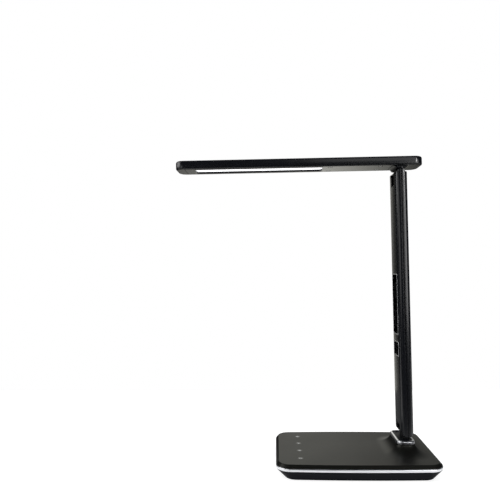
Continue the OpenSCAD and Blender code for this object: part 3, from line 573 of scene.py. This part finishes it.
def screwTree():  # pan heads with a cross recess, one on every point
    put = startTree("crossScrews", {"Head Radius": "Float", "Head Height": "Float", "Shank Radius": "Float",
                                    "Shank Length": "Float", "Recess": "Float", "Turn": "Vector",
                                    "Finish": "Material"})
    start = put["Geometry"]
    chamfer = 0.3 * put["Head Height"]

    def lifted(shape, z):
        place = start.node("ShaderNodeCombineXYZ", None, {"Z": z})
        return start.node("GeometryNodeTransform", None, {"Geometry": shape, "Translation": place})

    body = put["Head Height"] - chamfer
    disc = start.node("GeometryNodeMeshCylinder", None,
                      {"Vertices": 32, "Radius": put["Head Radius"], "Depth": body})
    disc = lifted(disc, 0.5 * body - put["Head Height"])
    crown = start.node("GeometryNodeMeshCone", None,
                       {"Vertices": 32, "Radius Bottom": put["Head Radius"],
                        "Radius Top": 0.82 * put["Head Radius"], "Depth": chamfer})
    crown = lifted(crown, 0 - chamfer)
    shank = start.node("GeometryNodeMeshCylinder", None,
                       {"Vertices": 20, "Radius": put["Shank Radius"], "Depth": put["Shank Length"]})
    shank = lifted(shank, -0.5 * put["Shank Length"] - 0.9 * put["Head Height"])
    whole = start.node("GeometryNodeMeshBoolean", {"operation": "UNION", "solver": "EXACT"}, {"Mesh 2": disc})
    solids = whole.socket.node
    for part in (crown, shank):
        start.tree.links.new(part.socket, solids.inputs["Mesh 2"])
    depth = 1.1 * put["Head Height"]
    cuts = []
    for x, y in ((put["Recess"], 0.28 * put["Recess"]), (0.28 * put["Recess"], put["Recess"])):
        size = start.node("ShaderNodeCombineXYZ", None, {"X": x, "Y": y, "Z": depth})
        cuts.append(start.node("GeometryNodeMeshCube", None, {"Size": size}))
    drilled = start.node("GeometryNodeMeshBoolean", {"operation": "DIFFERENCE", "solver": "EXACT"},
                         {"Mesh 1": whole, "Mesh 2": cuts[0]})
    start.tree.links.new(cuts[1].socket, drilled.socket.node.inputs["Mesh 2"])
    many = start.node("GeometryNodeInstanceOnPoints", None,
                      {"Points": start, "Instance": drilled,
                       "Rotation": start.node("FunctionNodeEulerToRotation", None, {"Euler": put["Turn"]})})
    return endTree(many, put["Finish"])


def nubTree():  # low round nubs on a diamond grid, kept where the field below them is hit
    put = startTree("gripNubs", {"Radius": "Float", "Height": "Float", "Reach": "Float", "Per Side": "Int",
                                 "Finish": "Material"})
    start = put["Geometry"]
    grid = start.node("GeometryNodeMeshGrid", None,
                      {"Size X": put["Reach"], "Size Y": put["Reach"],
                       "Vertices X": put["Per Side"], "Vertices Y": put["Per Side"]})
    grid = start.node("GeometryNodeTransform", None,
                      {"Geometry": grid, "Rotation": (0.0, 0.0, math.radians(45))})
    hit = start.node("GeometryNodeRaycast", None,
                     {"Target Geometry": start, "Source Position": start.node("GeometryNodeInputPosition"),
                      "Ray Direction": (0.0, 0.0, 1.0), "Ray Length": 1.0})
    points = start.node("GeometryNodeMeshToPoints", None, {"Mesh": grid, "Selection": hit})
    nub = start.node("GeometryNodeMeshCone", None,
                     {"Vertices": 12, "Radius Bottom": 0.72 * put["Radius"], "Radius Top": put["Radius"],
                      "Depth": put["Height"]})
    many = start.node("GeometryNodeInstanceOnPoints", None, {"Points": points, "Instance": nub})
    return endTree(many, put["Finish"])


bands, screws, nubs = bandTree(), screwTree(), nubTree()


def sweepBand(name, path, across, alongNormal, radius, body, node, finish):
    count = len(path)
    bm = runTree(bands, path, [(i, (i + 1) % count) for i in range(count)], [],
                 {"Across": across * mm, "Along Normal": alongNormal * mm, "Edge Radius": radius * mm,
                  "Edge Steps": 5, "Finish": finish})
    bmesh.ops.recalc_face_normals(bm, faces=bm.faces)
    return smoothEdges(addPiece(name, bm, finish, body, [node]))


# base
base = {"length": 166, "depth": 120, "corner": 15, "bow": 2.4, "top": 16, "bevel": 3, "trimTop": 12.7,
        "trimLow": 9.5, "low": 0.6, "taper": 4.5, "endExtra": 5, "wall": 2.2, "floor": 3, "plate": 13.8}
mound = {"centre": 53.25, "length": 19.5, "width": 44, "radius": 7, "top": 24.5,
         "front": 14, "rear": 13.5, "side": 20, "spread": 1.08, "waist": 0.56, "neck": 0.1, "lift": 0.42}
legHole = {"x": 56, "length": 8.7, "width": 13.6, "radius": 0.8}
collar = {"low": 24.5, "top": 28.5, "rim": 2.6, "dish": 27.3, "slope": 0.4, "outerEdge": 1.4, "edge": 0.4}
trim = {"inset": 1.5, "depth": 3.0, "edge": 0.9, "gap": 0.04}
inletCut = {"inner": 64, "outer": 90, "half": 3.75, "above": 0.02}
pad = {"inset": 9.5, "top": 1.6, "nubHeight": 0.4, "nubRadius": 1.0, "pitch": 3.6, "margin": 1.5, "edge": 0.3}


def baseRing(inset, extra=0.0, endSteps=40, cornerSteps=14, bowSteps=56):  # extra draws the ends in further
    endX = base["length"] / 2 - inset - extra
    sideY = base["depth"] / 2 - inset
    radius = base["corner"] - inset
    bowRadius = ((base["length"] / 2) ** 2 + base["bow"] ** 2) / (2 * base["bow"]) - inset
    cornerX = endX - radius
    cornerY = math.sqrt((bowRadius - radius) ** 2 - cornerX ** 2) - (bowRadius - sideY)
    tilt = math.degrees(math.asin(cornerX / (bowRadius - radius)))

    def arc(cx, cy, r, start, end, steps):
        angles = [math.radians(start + (end - start) * k / steps) for k in range(steps)]
        return [(cx + r * math.cos(a), cy + r * math.sin(a)) for a in angles]

    def straight(x, y0, y1):
        return [(x, y0 + (y1 - y0) * k / endSteps) for k in range(endSteps)]

    bowY = bowRadius - sideY
    return (straight(endX, -cornerY, cornerY)
            + arc(cornerX, cornerY, radius, 0, 90 - tilt, cornerSteps)
            + arc(0, -bowY, bowRadius, 90 - tilt, 90 + tilt, bowSteps)
            + arc(-cornerX, cornerY, radius, 90 + tilt, 180, cornerSteps)
            + straight(-endX, cornerY, -cornerY)
            + arc(-cornerX, -cornerY, radius, 180, 270 - tilt, cornerSteps)
            + arc(0, bowY, bowRadius, 270 - tilt, 270 + tilt, bowSteps)
            + arc(cornerX, -cornerY, radius, 270 + tilt, 360, cornerSteps))


def rectAlongRays(rays, length, width, radius, shift=0.0):  # where rays from the mound leave an outline
    points = []
    for dx, dy in rays:
        near, far = 0.0, 200.0
        for _ in range(34):
            reach = (near + far) / 2
            outX = abs(reach * dx - shift) - length / 2 + radius
            outY = abs(reach * dy) - width / 2 + radius
            gap = math.hypot(max(outX, 0), max(outY, 0)) + min(max(outX, outY), 0) - radius
            near, far = (reach, far) if gap < 0 else (near, reach)
        points.append((mound["centre"] + near * dx, near * dy))
    return points


def makeBaseTop():
    lip = 0.12
    edge = roundCorners(
        [(base["wall"] + base["bevel"], base["trimTop"] + lip), (lip, base["trimTop"] + lip),
         (base["bevel"], base["top"]), (base["bevel"] + 0.8, base["top"])],
        [0, 0.3, 0.7, 0])
    rings = [level(baseRing(inset), z) for inset, z in edge]
    outer = rings[-1]
    rays = [(Vector((x, y)) - Vector((mound["centre"], 0))).normalized() for x, y, _ in outer]

    def moundRing(spread, z):
        return level(rectAlongRays(
            rays, mound["length"] + (mound["front"] + mound["rear"]) * spread,
            mound["width"] + 2 * mound["side"] * spread, mound["radius"] + mound["rear"] * spread,
            (mound["rear"] - mound["front"]) * spread / 2), z)

    foot = moundRing(mound["spread"], base["top"])
    for share in (0.25, 0.5, 0.75):  # the flat top between its edge and the mound
        rings.append([Vector(a).lerp(Vector(b), share) for a, b in zip(outer, foot)])
    steps = 26
    for k in range(steps + 1):  # the skirt leaves the top level and meets the collar steeply
        t = k / steps
        u = 1 - t
        spread = mound["spread"] * u ** 3 + 3 * mound["waist"] * u * u * t + 3 * mound["neck"] * u * t * t
        rise = 3 * mound["lift"] * u * t * t + t ** 3
        rings.append(moundRing(spread, base["top"] + (mound["top"] - base["top"]) * rise))
    hole = rectAlongRays(rays, legHole["length"], legHole["width"], legHole["radius"],
                         legHole["x"] - mound["centre"])
    rings += [level(hole, mound["top"]), level(hole, base["plate"]),
              level(baseRing(base["wall"] + base["bevel"]), base["plate"])]
    return smoothEdges(addPiece("baseTop", loft(rings, closed=True), texturedBlack, "base",
                                ["base_top_cover"]))


def makeBaseBottom():
    wall, gap, extra = base["wall"], 0.15, base["endExtra"]
    profile = roundCorners(
        [(base["taper"] + wall, extra, base["floor"]), (wall, 0, base["trimLow"]), (0.2, 0, base["trimLow"]),
         (base["taper"], extra, base["low"]), (pad["inset"] - gap, extra, base["low"]),
         (pad["inset"] - gap, extra, pad["top"])],
        [0, 0, 0.3, 0.9, 0, 0])
    bm = loft([level(baseRing(inset, drawn), z) for inset, drawn, z in profile])
    piece = addPiece("baseBottom", bm, mouldedBlack, "base", ["base_bottom_shell"])
    inner, outer, half = inletCut["inner"], inletCut["outer"], inletCut["half"]
    outline = ((inner, -half), (outer, -half), (outer, half), (inner, half))
    cutter = loft([level(outline, z) for z in (base["floor"] + inletCut["above"], base["trimLow"] + 1)])
    mesh = bpy.data.meshes.new("inletCut")
    cutter.to_mesh(mesh)
    cutter.free()
    tool = bpy.data.objects.new("inletCut", mesh)
    bpy.context.scene.collection.objects.link(tool)
    cut = piece.modifiers.new("inlet", "BOOLEAN")
    cut.object, cut.solver, cut.operation = tool, "EXACT", "DIFFERENCE"
    scope = bpy.context.evaluated_depsgraph_get()
    made = bpy.data.meshes.new_from_object(piece.evaluated_get(scope), depsgraph=scope)
    piece.modifiers.clear()
    piece.data = made
    bpy.data.objects.remove(tool)
    made.set_sharp_from_angle(angle=math.radians(38))
    return smoothEdges(piece)


def makeCollar():
    rim, low, top, dish = collar["rim"], collar["low"], collar["top"], collar["dish"]

    def ring(inset, z):
        return level(roundedRect(mound["length"] - 2 * inset, mound["width"] - 2 * inset,
                                 mound["radius"] - inset, (mound["centre"], 0)), z)

    edge = collar["edge"]
    profile = roundCorners([(rim, dish - 1), (0.15, low), (0.1, top - collar["slope"]), (rim, top)],
                           [0, edge, collar["outerEdge"], edge])
    rings = [ring(inset, z) for inset, z in profile]
    smoothEdges(addPiece("hingeCollar", loft(rings, closed=True), collarSilverPaintedShade, "base", ["hinge_collar"]))
    hole = roundedRect(legHole["length"], legHole["width"], legHole["radius"], (legHole["x"], 0))
    rings = [ring(rim + 0.05, low), ring(rim + 0.05, dish - 0.2), ring(rim + 0.3, dish), level(hole, dish),
             level(hole, low)]
    smoothEdges(addPiece("collarDish", loft(rings, closed=True), mouldedBlack, "base"))


def makePad():
    low = pad["nubHeight"]
    profile = [(pad["inset"] + 0.5, low), (pad["inset"], low + pad["edge"]), (pad["inset"], pad["top"])]
    mat = loft([level(baseRing(inset, base["endExtra"]), z) for inset, z in profile])
    field = level(baseRing(pad["inset"] + pad["margin"], base["endExtra"]), 0.2)
    reach = 200
    dots = runTree(nubs, field, [], [list(range(len(field)))],
                   {"Radius": pad["nubRadius"] * mm, "Height": low * mm, "Reach": reach * mm,
                    "Per Side": round(reach / pad["pitch"]) + 1, "Finish": rubber})
    return smoothEdges(addPiece("gripPad", joined([mat, dots]), rubber, "base", ["base_pad"], 50))


trimPath = level(baseRing(trim["inset"]), (base["trimTop"] + base["trimLow"]) / 2)
makeBaseTop()
sweepBand("baseTrim", trimPath, base["trimTop"] - base["trimLow"] - trim["gap"], trim["depth"], trim["edge"],
          "base", "base_trim", brushedBand)
makeBaseBottom()
makeCollar()
makePad()

# touch marks
touch = {"x": -57.8, "ys": (-36.9, -12.3, 12.3, 36.9), "radius": 3.1, "low": 15.4, "top": 16.03, "line": 0.42}


def barMark(centre, along, length, width, z0, z1):  # a flat bar that lies on the base
    d = Vector((math.cos(along), math.sin(along)))
    n = Vector((-d.y, d.x))
    corners = ((1, -1), (1, 1), (-1, 1), (-1, -1))
    outline = [Vector(centre) + d * a * length / 2 + n * b * width / 2 for a, b in corners]
    return loft([level(outline, z) for z in (z0, z1)])


def arcMark(centre, radius, width, start, end, z0, z1, steps=28):  # a flat ring or part of one
    rows = []
    for k in range(steps + 1):
        a = math.radians(start + (end - start) * k / steps)
        d = Vector((math.cos(a), math.sin(a)))
        inner, outer = Vector(centre) + d * (radius - width / 2), Vector(centre) + d * (radius + width / 2)
        rows.append([(*inner, z0), (*outer, z0), (*outer, z1), (*inner, z1)])
    return loft(rows)


def makeTouchMarks():
    x, r, line = touch["x"], touch["radius"], touch["line"]
    low, high = touch["top"] - 0.02, touch["top"] + 0.03
    edge = roundCorners([(r, touch["low"]), (r, touch["top"]), (r - 1, touch["top"])], [0, 0.15, 0])
    discs = [lathe(edge, "z", (x, y, 0)) for y in touch["ys"]]
    smoothEdges(addPiece("touchDiscs", joined(discs), touchDisc, "base", ["touch_windows"]))
    power, brighter, dimmer, mode = [(x, y) for y in touch["ys"]]
    marks = [arcMark(power, 1.5, line, 35, 325, low, high),
             barMark((x + 1.1, power[1]), 0, 1.6, line, low, high)]
    for centre, size in ((brighter, 1.7), (dimmer, 1.5)):
        marks.append(arcMark(centre, 0.55, 0.5, 0, 360, low, high))
        for k in range(8):
            a = math.radians(45 * k)
            spot = Vector(centre) + Vector((math.cos(a), math.sin(a))) * (size - 0.2)
            marks.append(barMark(spot, a, 0.7 if centre is brighter else 0.35, line, low, high))
    marks.append(arcMark(mode, 1.5, line, 0, 360, low, high))
    marks.append(arcMark(mode, 0.6, 1.2, 90, 270, low, high))
    addPiece("touchMarks", joined(marks), touchMark, "base")


makeTouchMarks()

# power inlet
inlet = {"back": 66.9, "face": 75.9, "z": 6.6, "pin": 0.65, "reach": 6.5, "sleeve": 2.85}


def makeInletPin():
    root, reach, r = (inlet["back"], 0, inlet["z"]), inlet["reach"], inlet["sleeve"]
    profile = roundCorners([(inlet["pin"], 0), (inlet["pin"], reach), (0.12, reach)], [0, 0.5, 0])
    lip = [(r - 0.22, 0.1), (r - 0.22, 8.4), (r - 0.05, 8.6), (r - 0.05, 0.1)]
    contacts = [lathe(profile, "x", root, 24), lathe(lip, "x", root, closed=True)]
    addPiece("inletContacts", joined(contacts), brass, "base")


softened("inletSocket", "power_inlet", satinBlack, 0.3,
         lambda p: 1.0 if p.x > inlet["face"] - 0.1 else 0.0)
makeInletPin()
print("base dressed")

# arm
arm = {"x": 56, "halfT": 6.5, "halfW": 17, "radius": 5, "pivotLow": 37.2, "pivotHigh": 309.2,
       "edge": 0.5, "outerEdge": 0.8, "seamEdge": 1.0, "front": 49.5}
clock = {"mid": 170, "height": 66}
date = {"mid": 122, "height": 16}
window = {"width": 23, "radius": 2, "rim": 1.2, "proud": 0.3, "seat": 1.0, "lensDrop": 0.25}


def armEdge(p):  # how far an edge of the arm's shells is broken
    if abs(p.x - arm["x"]) < 0.3:
        return arm["seamEdge"]
    inX = max(abs(p.x - arm["x"]) - arm["halfT"] + arm["radius"], 0)
    inY = max(abs(p.y) - arm["halfW"] + arm["radius"], 0)
    onSide = math.hypot(inX, inY) - arm["radius"] > -0.06
    onFoot = p.z < arm["pivotLow"] and math.hypot(p.x - arm["x"], p.z - arm["pivotLow"]) > arm["halfT"] - 0.06
    return arm["outerEdge"] if onSide or onFoot or p.z > arm["pivotHigh"] + 3.5 else 0.0


def makeWindow(name, glass, spec):
    z, high, wide = spec["mid"], spec["height"], window["width"]
    rim, front, back = window["rim"], arm["front"] - window["proud"], arm["front"] + window["seat"]
    path = [((front + back) / 2, y, z + h) for h, y in
            roundedRect(high - rim, wide - rim, window["radius"] - rim / 2)]
    sweepBand(name + "Bezel", path, rim, back - front, 0.32, "arm", name + "_bezel", satinSilver)
    inset = rim + 0.05
    face = front + window["lensDrop"]
    profile = roundCorners([(inset, back), (inset, face), (inset + 1, face)], [0, 0.2, 0])
    rings = [[(x, y, z + h) for h, y in roundedRect(high - 2 * i, wide - 2 * i, window["radius"] - i * 0.6)]
             for i, x in profile]
    smoothEdges(addPiece(name + "Lens", loft(rings), glossLens, "arm", [name + "_lens"]))
    bars = [loft([[(face - d, -right, z + up) for right, up in corners] for d in (-0.05, 0.02)])
            for shape in glass for corners in shape]
    addPiece(name + "Digits", joined(bars), segmentInk, "arm")


segmentTable = {0: "abcdef", 1: "bc", 2: "abged", 3: "abgcd", 5: "afgcd"}  # lit bars of a digit


def digit(number, right, up, wide, high, bar=1.5):  # bars as six-cornered outlines, right and up on the lens
    places = {"a": (0, 0.5, 0), "g": (0, 0, 0), "d": (0, -0.5, 0),
              "b": (0.5, 0.25, 1), "c": (0.5, -0.25, 1), "f": (-0.5, 0.25, 1), "e": (-0.5, -0.25, 1)}
    out = []
    for key in segmentTable[number]:
        px, py, upright = places[key]
        cx, cy = right + px * (wide - bar), up + py * (high - bar)
        half = (high - bar) / 4 - 0.15 if upright else (wide - bar) / 2 - 0.15
        tip, b = half - bar / 2, bar / 2
        bars = [(half, 0), (tip, b), (-tip, b), (-half, 0), (-tip, -b), (tip, -b)]
        out.append([(cx + (v if upright else u), cy + (u if upright else v)) for u, v in bars])
    return out


def dot(right, up, size=1.6):
    s = size / 2
    return [[(right + a * s, up + b * s) for a, b in ((1, 1), (-1, 1), (-1, -1), (1, -1))]]


softened("armBack", "arm_rear_shell", armBlack, arm["edge"], armEdge)
softened("armFront", "arm_front_cover", armBlack, arm["edge"], armEdge)
makeWindow("clock", [digit(1, -5.4, 15, 8.4, 17), digit(0, 5.4, 15, 8.4, 17), dot(-2.6, 0), dot(2.6, 0),
                     digit(3, -5.4, -15, 8.4, 17), digit(0, 5.4, -15, 8.4, 17)], clock)
makeWindow("date", [digit(2, -6.2, 0, 5.6, 10), digit(5, 1.4, 0, 5.6, 10), dot(7, 3.6, 1.8)], date)

keys = {"clock_key_set": 182, "clock_key_up": 170, "clock_key_down": 158}
keyShape = {"radius": 2.4, "rim": 3.3, "inner": 57, "rimLow": 59.6, "rimHigh": 60.6, "top": 63.4}


def makeKey(node, z):
    r, top = keyShape["radius"], keyShape["top"]
    profile = [(r, keyShape["inner"]), (r, keyShape["rimLow"]), (keyShape["rim"], keyShape["rimLow"]),
               (keyShape["rim"], keyShape["rimHigh"]), (r, keyShape["rimHigh"])]
    # a round edge and a shallow dish for the finger
    dome = [(r, top - 0.55), (r - 0.06, top - 0.32), (r - 0.22, top - 0.16), (r - 0.5, top - 0.05),
            (r - 0.9, top), (0.9, top - 0.12), (0.2, top - 0.16)]
    smoothEdges(addPiece(camelName(node), lathe(profile + dome, "x", (0, 0, z)), satinBlack,
                         cad[node]["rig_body"], [node]))


for node, z in keys.items():
    makeKey(node, z)

screw = {"Head Radius": 2.3 * mm, "Head Height": 1.2 * mm, "Shank Radius": 1.2 * mm, "Recess": 2.5 * mm,
         "Finish": steel}


def makeScrews(name, node, body, places, turn, length):
    bm = runTree(screws, places, [], [], {**screw, "Shank Length": length * mm, "Turn": turn})
    addPiece(name, bm, steel, body, [node], 25)


armScrews = {"x": 61.9, "zs": (75.2, 102, 215, 271.2), "length": 9.1}
makeScrews("armScrews", "arm_screws", "arm", [(armScrews["x"], 0, z) for z in armScrews["zs"]],
           (0.0, math.radians(90), 0.0), armScrews["length"])
print("arm dressed")

# head
head = {"x0": -189.1, "x1": 79.7, "halfW": 17.25, "low": 319.7, "top": 329.4, "corner": 9,
        "topEdge": 2.1, "lowEdge": 1.9, "ceiling": 327.8, "sink": 1.7}
cover = {"x0": -178.6, "x1": 74.2, "halfW": 15.05, "radius": 2, "edge": 0.35}


def makeHeadTop():
    length, middle = head["x1"] - head["x0"], (head["x0"] + head["x1"]) / 2
    profile = roundCorners(
        [(6, head["top"]), (0, head["top"]), (0, head["low"]), (head["lowEdge"], head["low"])],
        [0, head["topEdge"], head["lowEdge"] - 0.02, 0], 8)
    rings = [level(roundedRect(length - 2 * i, 2 * (head["halfW"] - i), head["corner"] - i, (middle, 0), 14), z)
             for i, z in profile]
    coverMid = (cover["x0"] + cover["x1"]) / 2
    for grow, z in ((0.25, head["low"]), (0.15, head["low"] + 0.25), (0.15, head["ceiling"])):
        rings.append(level(roundedRect(cover["x1"] - cover["x0"] + 2 * grow, 2 * (cover["halfW"] + grow),
                                       cover["radius"] + grow, (coverMid, 0), 14), z))
    smoothEdges(addPiece("headTop", loft(rings), headBlack, "head", ["head_top_cover"]))


neckPin = {"x": 57.2, "z": 317.7, "radius": 1.4, "reach": 14.35, "dome": 0.5}


def makeNeckPin():  # one pin through the neck, with domed ends
    radius, reach = neckPin["radius"], neckPin["reach"]
    profile = roundCorners([(0.05, -reach), (radius, -reach), (radius, reach), (0.05, reach)],
                           [0, neckPin["dome"], neckPin["dome"], 0])
    pin = lathe(profile, "y", (neckPin["x"], 0, neckPin["z"]), 24)
    smoothEdges(addPiece("neckPin", pin, satinBlack, "head"))


panelRail = {"x0": -167.6, "x1": -27.4, "inner": 9.6, "outer": 15.0, "radius": 1.0, "proud": 0.03,
             "depth": 1.6, "edge": 0.3}


def makePanelRails():  # matt rails along the long sides of the light panel
    x0, x1, inner, outer = (panelRail[k] for k in ("x0", "x1", "inner", "outer"))
    edge, low = panelRail["edge"], head["low"] - panelRail["proud"]
    profile = ((edge, low), (0.0, low + edge), (0.0, low + panelRail["depth"]))
    rails = []
    for side in (-1, 1):
        centre = ((x0 + x1) / 2, side * (inner + outer) / 2)
        rails.append(loft([level(roundedRect(x1 - x0 - 2 * inset, outer - inner - 2 * inset,
                                             panelRail["radius"] - inset, centre), z) for inset, z in profile]))
    smoothEdges(addPiece("panelRails", joined(rails), mouldedBlack, "head"))


headScrews = {"xs": (-19.4, 35), "y": 10.55, "lift": 0.05, "length": 6.5}

makeHeadTop()
makePanelRails()
softened("headUnder", "head_bottom_cover", satinBlack, cover["edge"],
         lambda p: 1.0 if p.z < head["low"] + 0.02 else 0.0)
softened("lightPanel", "diffuser", litPanel, 0.3,
         lambda p: 1.0 if p.z < head["low"] + head["sink"] + 0.02 else 0.0)
softened("neck", "head_neck", mouldedBlack, 0.5,
         lambda p: 1.0 if p.z < head["low"] - 0.3 else 0.0)
makeNeckPin()
makeScrews("headScrews", "head_screws", "head",
           [(x, side * headScrews["y"], head["low"] + headScrews["lift"])
            for x in headScrews["xs"] for side in (-1, 1)],
           (math.radians(180), 0.0, 0.0), headScrews["length"])
print("head dressed")

# hinge hardware, seen when the lamp is folded, and the parts inside the shells
for node in ("hinge_bracket", "lower_yoke", "upper_yoke", "lower_pin", "upper_pin", "lower_nut", "upper_nut"):
    finish = steel if node.endswith(("pin", "nut")) else blackOxide
    softened(camelName(node), node, finish, 0.2, None, 2)
insideFinishes = {
    "ballast_plate": ballast, "control_board": board, "clock_board": board, "touch_contacts": brass,
    "base_screws": steel, "bracket_screws": steel, "yoke_screws": steel, "neck_screws": steel,
    "lower_washers": blackOxide, "upper_washers": blackOxide, "arm_cable": cableJacket,
    "clock_glass": glossLens, "date_glass": glossLens, "light_guide": clearGuide,
    "reflector_sheet": reflectorFilm, "led_boards": reflectorFilm, "leds": phosphor, "heat_spreader": spreader,
}
for node, finish in insideFinishes.items():
    cad[node].data.materials.clear()
    cad[node].data.materials.append(finish)
print("inside parts finished:", len(insideFinishes))


# camera, floor and light
shot = {"lens": 39.095, "place": (-80.936, -601.62, 204.369), "yaw": 2.6291, "pitch": 2.5451, "roll": -0.7053}


def makeCamera():
    yaw, pitch, roll = (math.radians(shot[k]) for k in ("yaw", "pitch", "roll"))
    right = Vector((math.cos(yaw), math.sin(yaw), 0))
    ahead = Vector((-math.sin(yaw) * math.cos(pitch), math.cos(yaw) * math.cos(pitch), math.sin(pitch)))
    up = right.cross(ahead)
    across = right * math.cos(roll) + up * math.sin(roll)
    upward = up * math.cos(roll) - right * math.sin(roll)
    lens = bpy.data.cameras.new("shot")
    lens.lens, lens.sensor_width, lens.sensor_fit = shot["lens"], 36, "HORIZONTAL"
    lens.clip_start, lens.clip_end = 0.01, 50
    camera = bpy.data.objects.new("shot", lens)
    turn = Matrix((across, upward, -ahead)).transposed().to_4x4()
    camera.matrix_world = Matrix.Translation(Vector(shot["place"]) * mm) @ turn
    bpy.context.scene.collection.objects.link(camera)
    bpy.context.scene.camera = camera


stageLook = {"half": 1.2, "front": -0.24, "back": 0.36, "colour": 0.9, "seenColour": 0.35, "dimColour": 0.1,
             "glow": 0.85, "backdrop": 1.0, "dark": 0.02}


def makeFloor():
    half, front, back, drop = stageLook["half"], stageLook["front"], stageLook["back"], -0.0003
    mesh = bpy.data.meshes.new("floor")
    mesh.from_pydata([(-half, front, drop), (half, front, drop), (half, back, drop), (-half, back, drop)],
                     [], [(0, 1, 2, 3)])
    floor = bpy.data.objects.new("floor", mesh)
    bpy.context.scene.collection.objects.link(floor)
    finish = bpy.data.materials.new("paleFloor")
    finish.use_nodes = True
    tree = finish.node_tree
    tree.nodes.clear()
    seen = Wire(tree).node("ShaderNodeLightPath", out="Is Camera Ray")
    mirrored = seen.node("ShaderNodeLightPath", out="Is Glossy Ray")
    place = seen.node("ShaderNodeTexCoord", out="Object")
    depth = axisOf(place, "Y")
    away = span(depth, 0.06, 0.12) + span(depth, -0.13, -0.1, 1.0, 0.0)
    far, near, dim = stageLook["colour"], stageLook["seenColour"], stageLook["dimColour"]
    tone = far + (near - far) * seen + (dim - far) * mirrored * away  # mirrored dark away from the lamp
    matte = seen.node("ShaderNodeBsdfDiffuse", None, {"Color": blendColours(tone, (0, 0, 0), (1, 1, 1))})
    white = seen.node("ShaderNodeEmission", None, {"Color": (1, 1, 1, 1), "Strength": seen * stageLook["glow"]})
    both = seen.node("ShaderNodeAddShader", None, {0: matte, 1: white})
    target = tree.nodes.new("ShaderNodeOutputMaterial")
    tree.links.new(both.socket, target.inputs["Surface"])
    mesh.materials.append(finish)


def makeWorld():
    world = bpy.data.worlds.new("studio")
    bpy.context.scene.world = world
    world.use_nodes = True
    tree = world.node_tree
    tree.nodes.clear()
    seen = Wire(tree).node("ShaderNodeLightPath", out="Is Camera Ray")
    direction = seen.node("ShaderNodeTexCoord", out="Generated")
    across, depth, height = (axisOf(direction, letter) for letter in "XYZ")
    wall = span(depth, 0.5, 0.92)  # a pale wall behind the lamp, a dark room behind the camera
    # the wall fades to the right, sooner low down, and to the left
    low, high = span(across, 0.06, 0.26, 1.0, 0.1), span(across, -0.05, 0.28, 1.0, 0.42)
    right = low + span(height, 0.08, 0.26) * (high - low)
    left = span(across + 0.3 * height + span(height, -0.25, 0.0, 0.15, 0.0), -0.32, 0.12, 0.1, 1.0)
    lit = stageLook["dark"] + stageLook["backdrop"] * wall * right * left * left
    tint = blendColours(wall, (0.75, 0.88, 1.0), (1.0, 0.99, 0.91))
    colour = blendColours(seen, tint, (1, 1, 1))
    glow = seen.node("ShaderNodeBackground", None, {"Color": colour, "Strength": seen + (1 - seen) * lit})
    target = tree.nodes.new("ShaderNodeOutputWorld")
    tree.links.new(glow.socket, target.inputs["Surface"])


def makeSoftbox(name, place, aim, width, height, radiance, mirrored):
    light = bpy.data.lights.new(name, "AREA")
    light.shape, light.size, light.size_y = "RECTANGLE", width, height
    light.energy = radiance * math.pi * width * height
    lamp = bpy.data.objects.new(name, light)
    lamp.location = place
    lamp.rotation_euler = (Vector(aim) - Vector(place)).to_track_quat("-Z", "Y").to_euler()
    lamp.visible_camera = False
    lamp.visible_glossy = mirrored
    bpy.context.scene.collection.objects.link(lamp)


softboxes = {  # place, aim, width, height, radiance, and whether the lamp mirrors it
    "overhead": ((-0.1, 0.2, 2.6), (-0.1, 0.0, 0), 4.5, 3.6, 1.9, False),
    "rightSoftbox": ((0.75, -0.96, 0.3), (0.055, 0, 0.3), 0.85, 0.5, 3.5, True),
    "rearSpot": ((0.66, -1.06, 0.6), (0.07, 0, 0.324), 0.2, 0.12, 40.0, True),
    "frontFill": ((0.42, -1.15, 0.86), (0.1, 0, 0.3), 0.75, 0.55, 1.0, True),
    "leftFill": ((-0.71, -0.91, 0.3), (0.055, 0, 0.2), 0.6, 0.4, 1.2, True),
    "leftSoftbox": ((-1.35, -0.25, 0.83), (-0.189, 0, 0.324), 1.2, 0.75, 3.6, True),
}
makeCamera()
makeFloor()
makeWorld()
for name, settings in softboxes.items():
    makeSoftbox(name, *settings)
bpy.context.scene.view_settings.view_transform = "Standard"
print("camera, floor and light set")
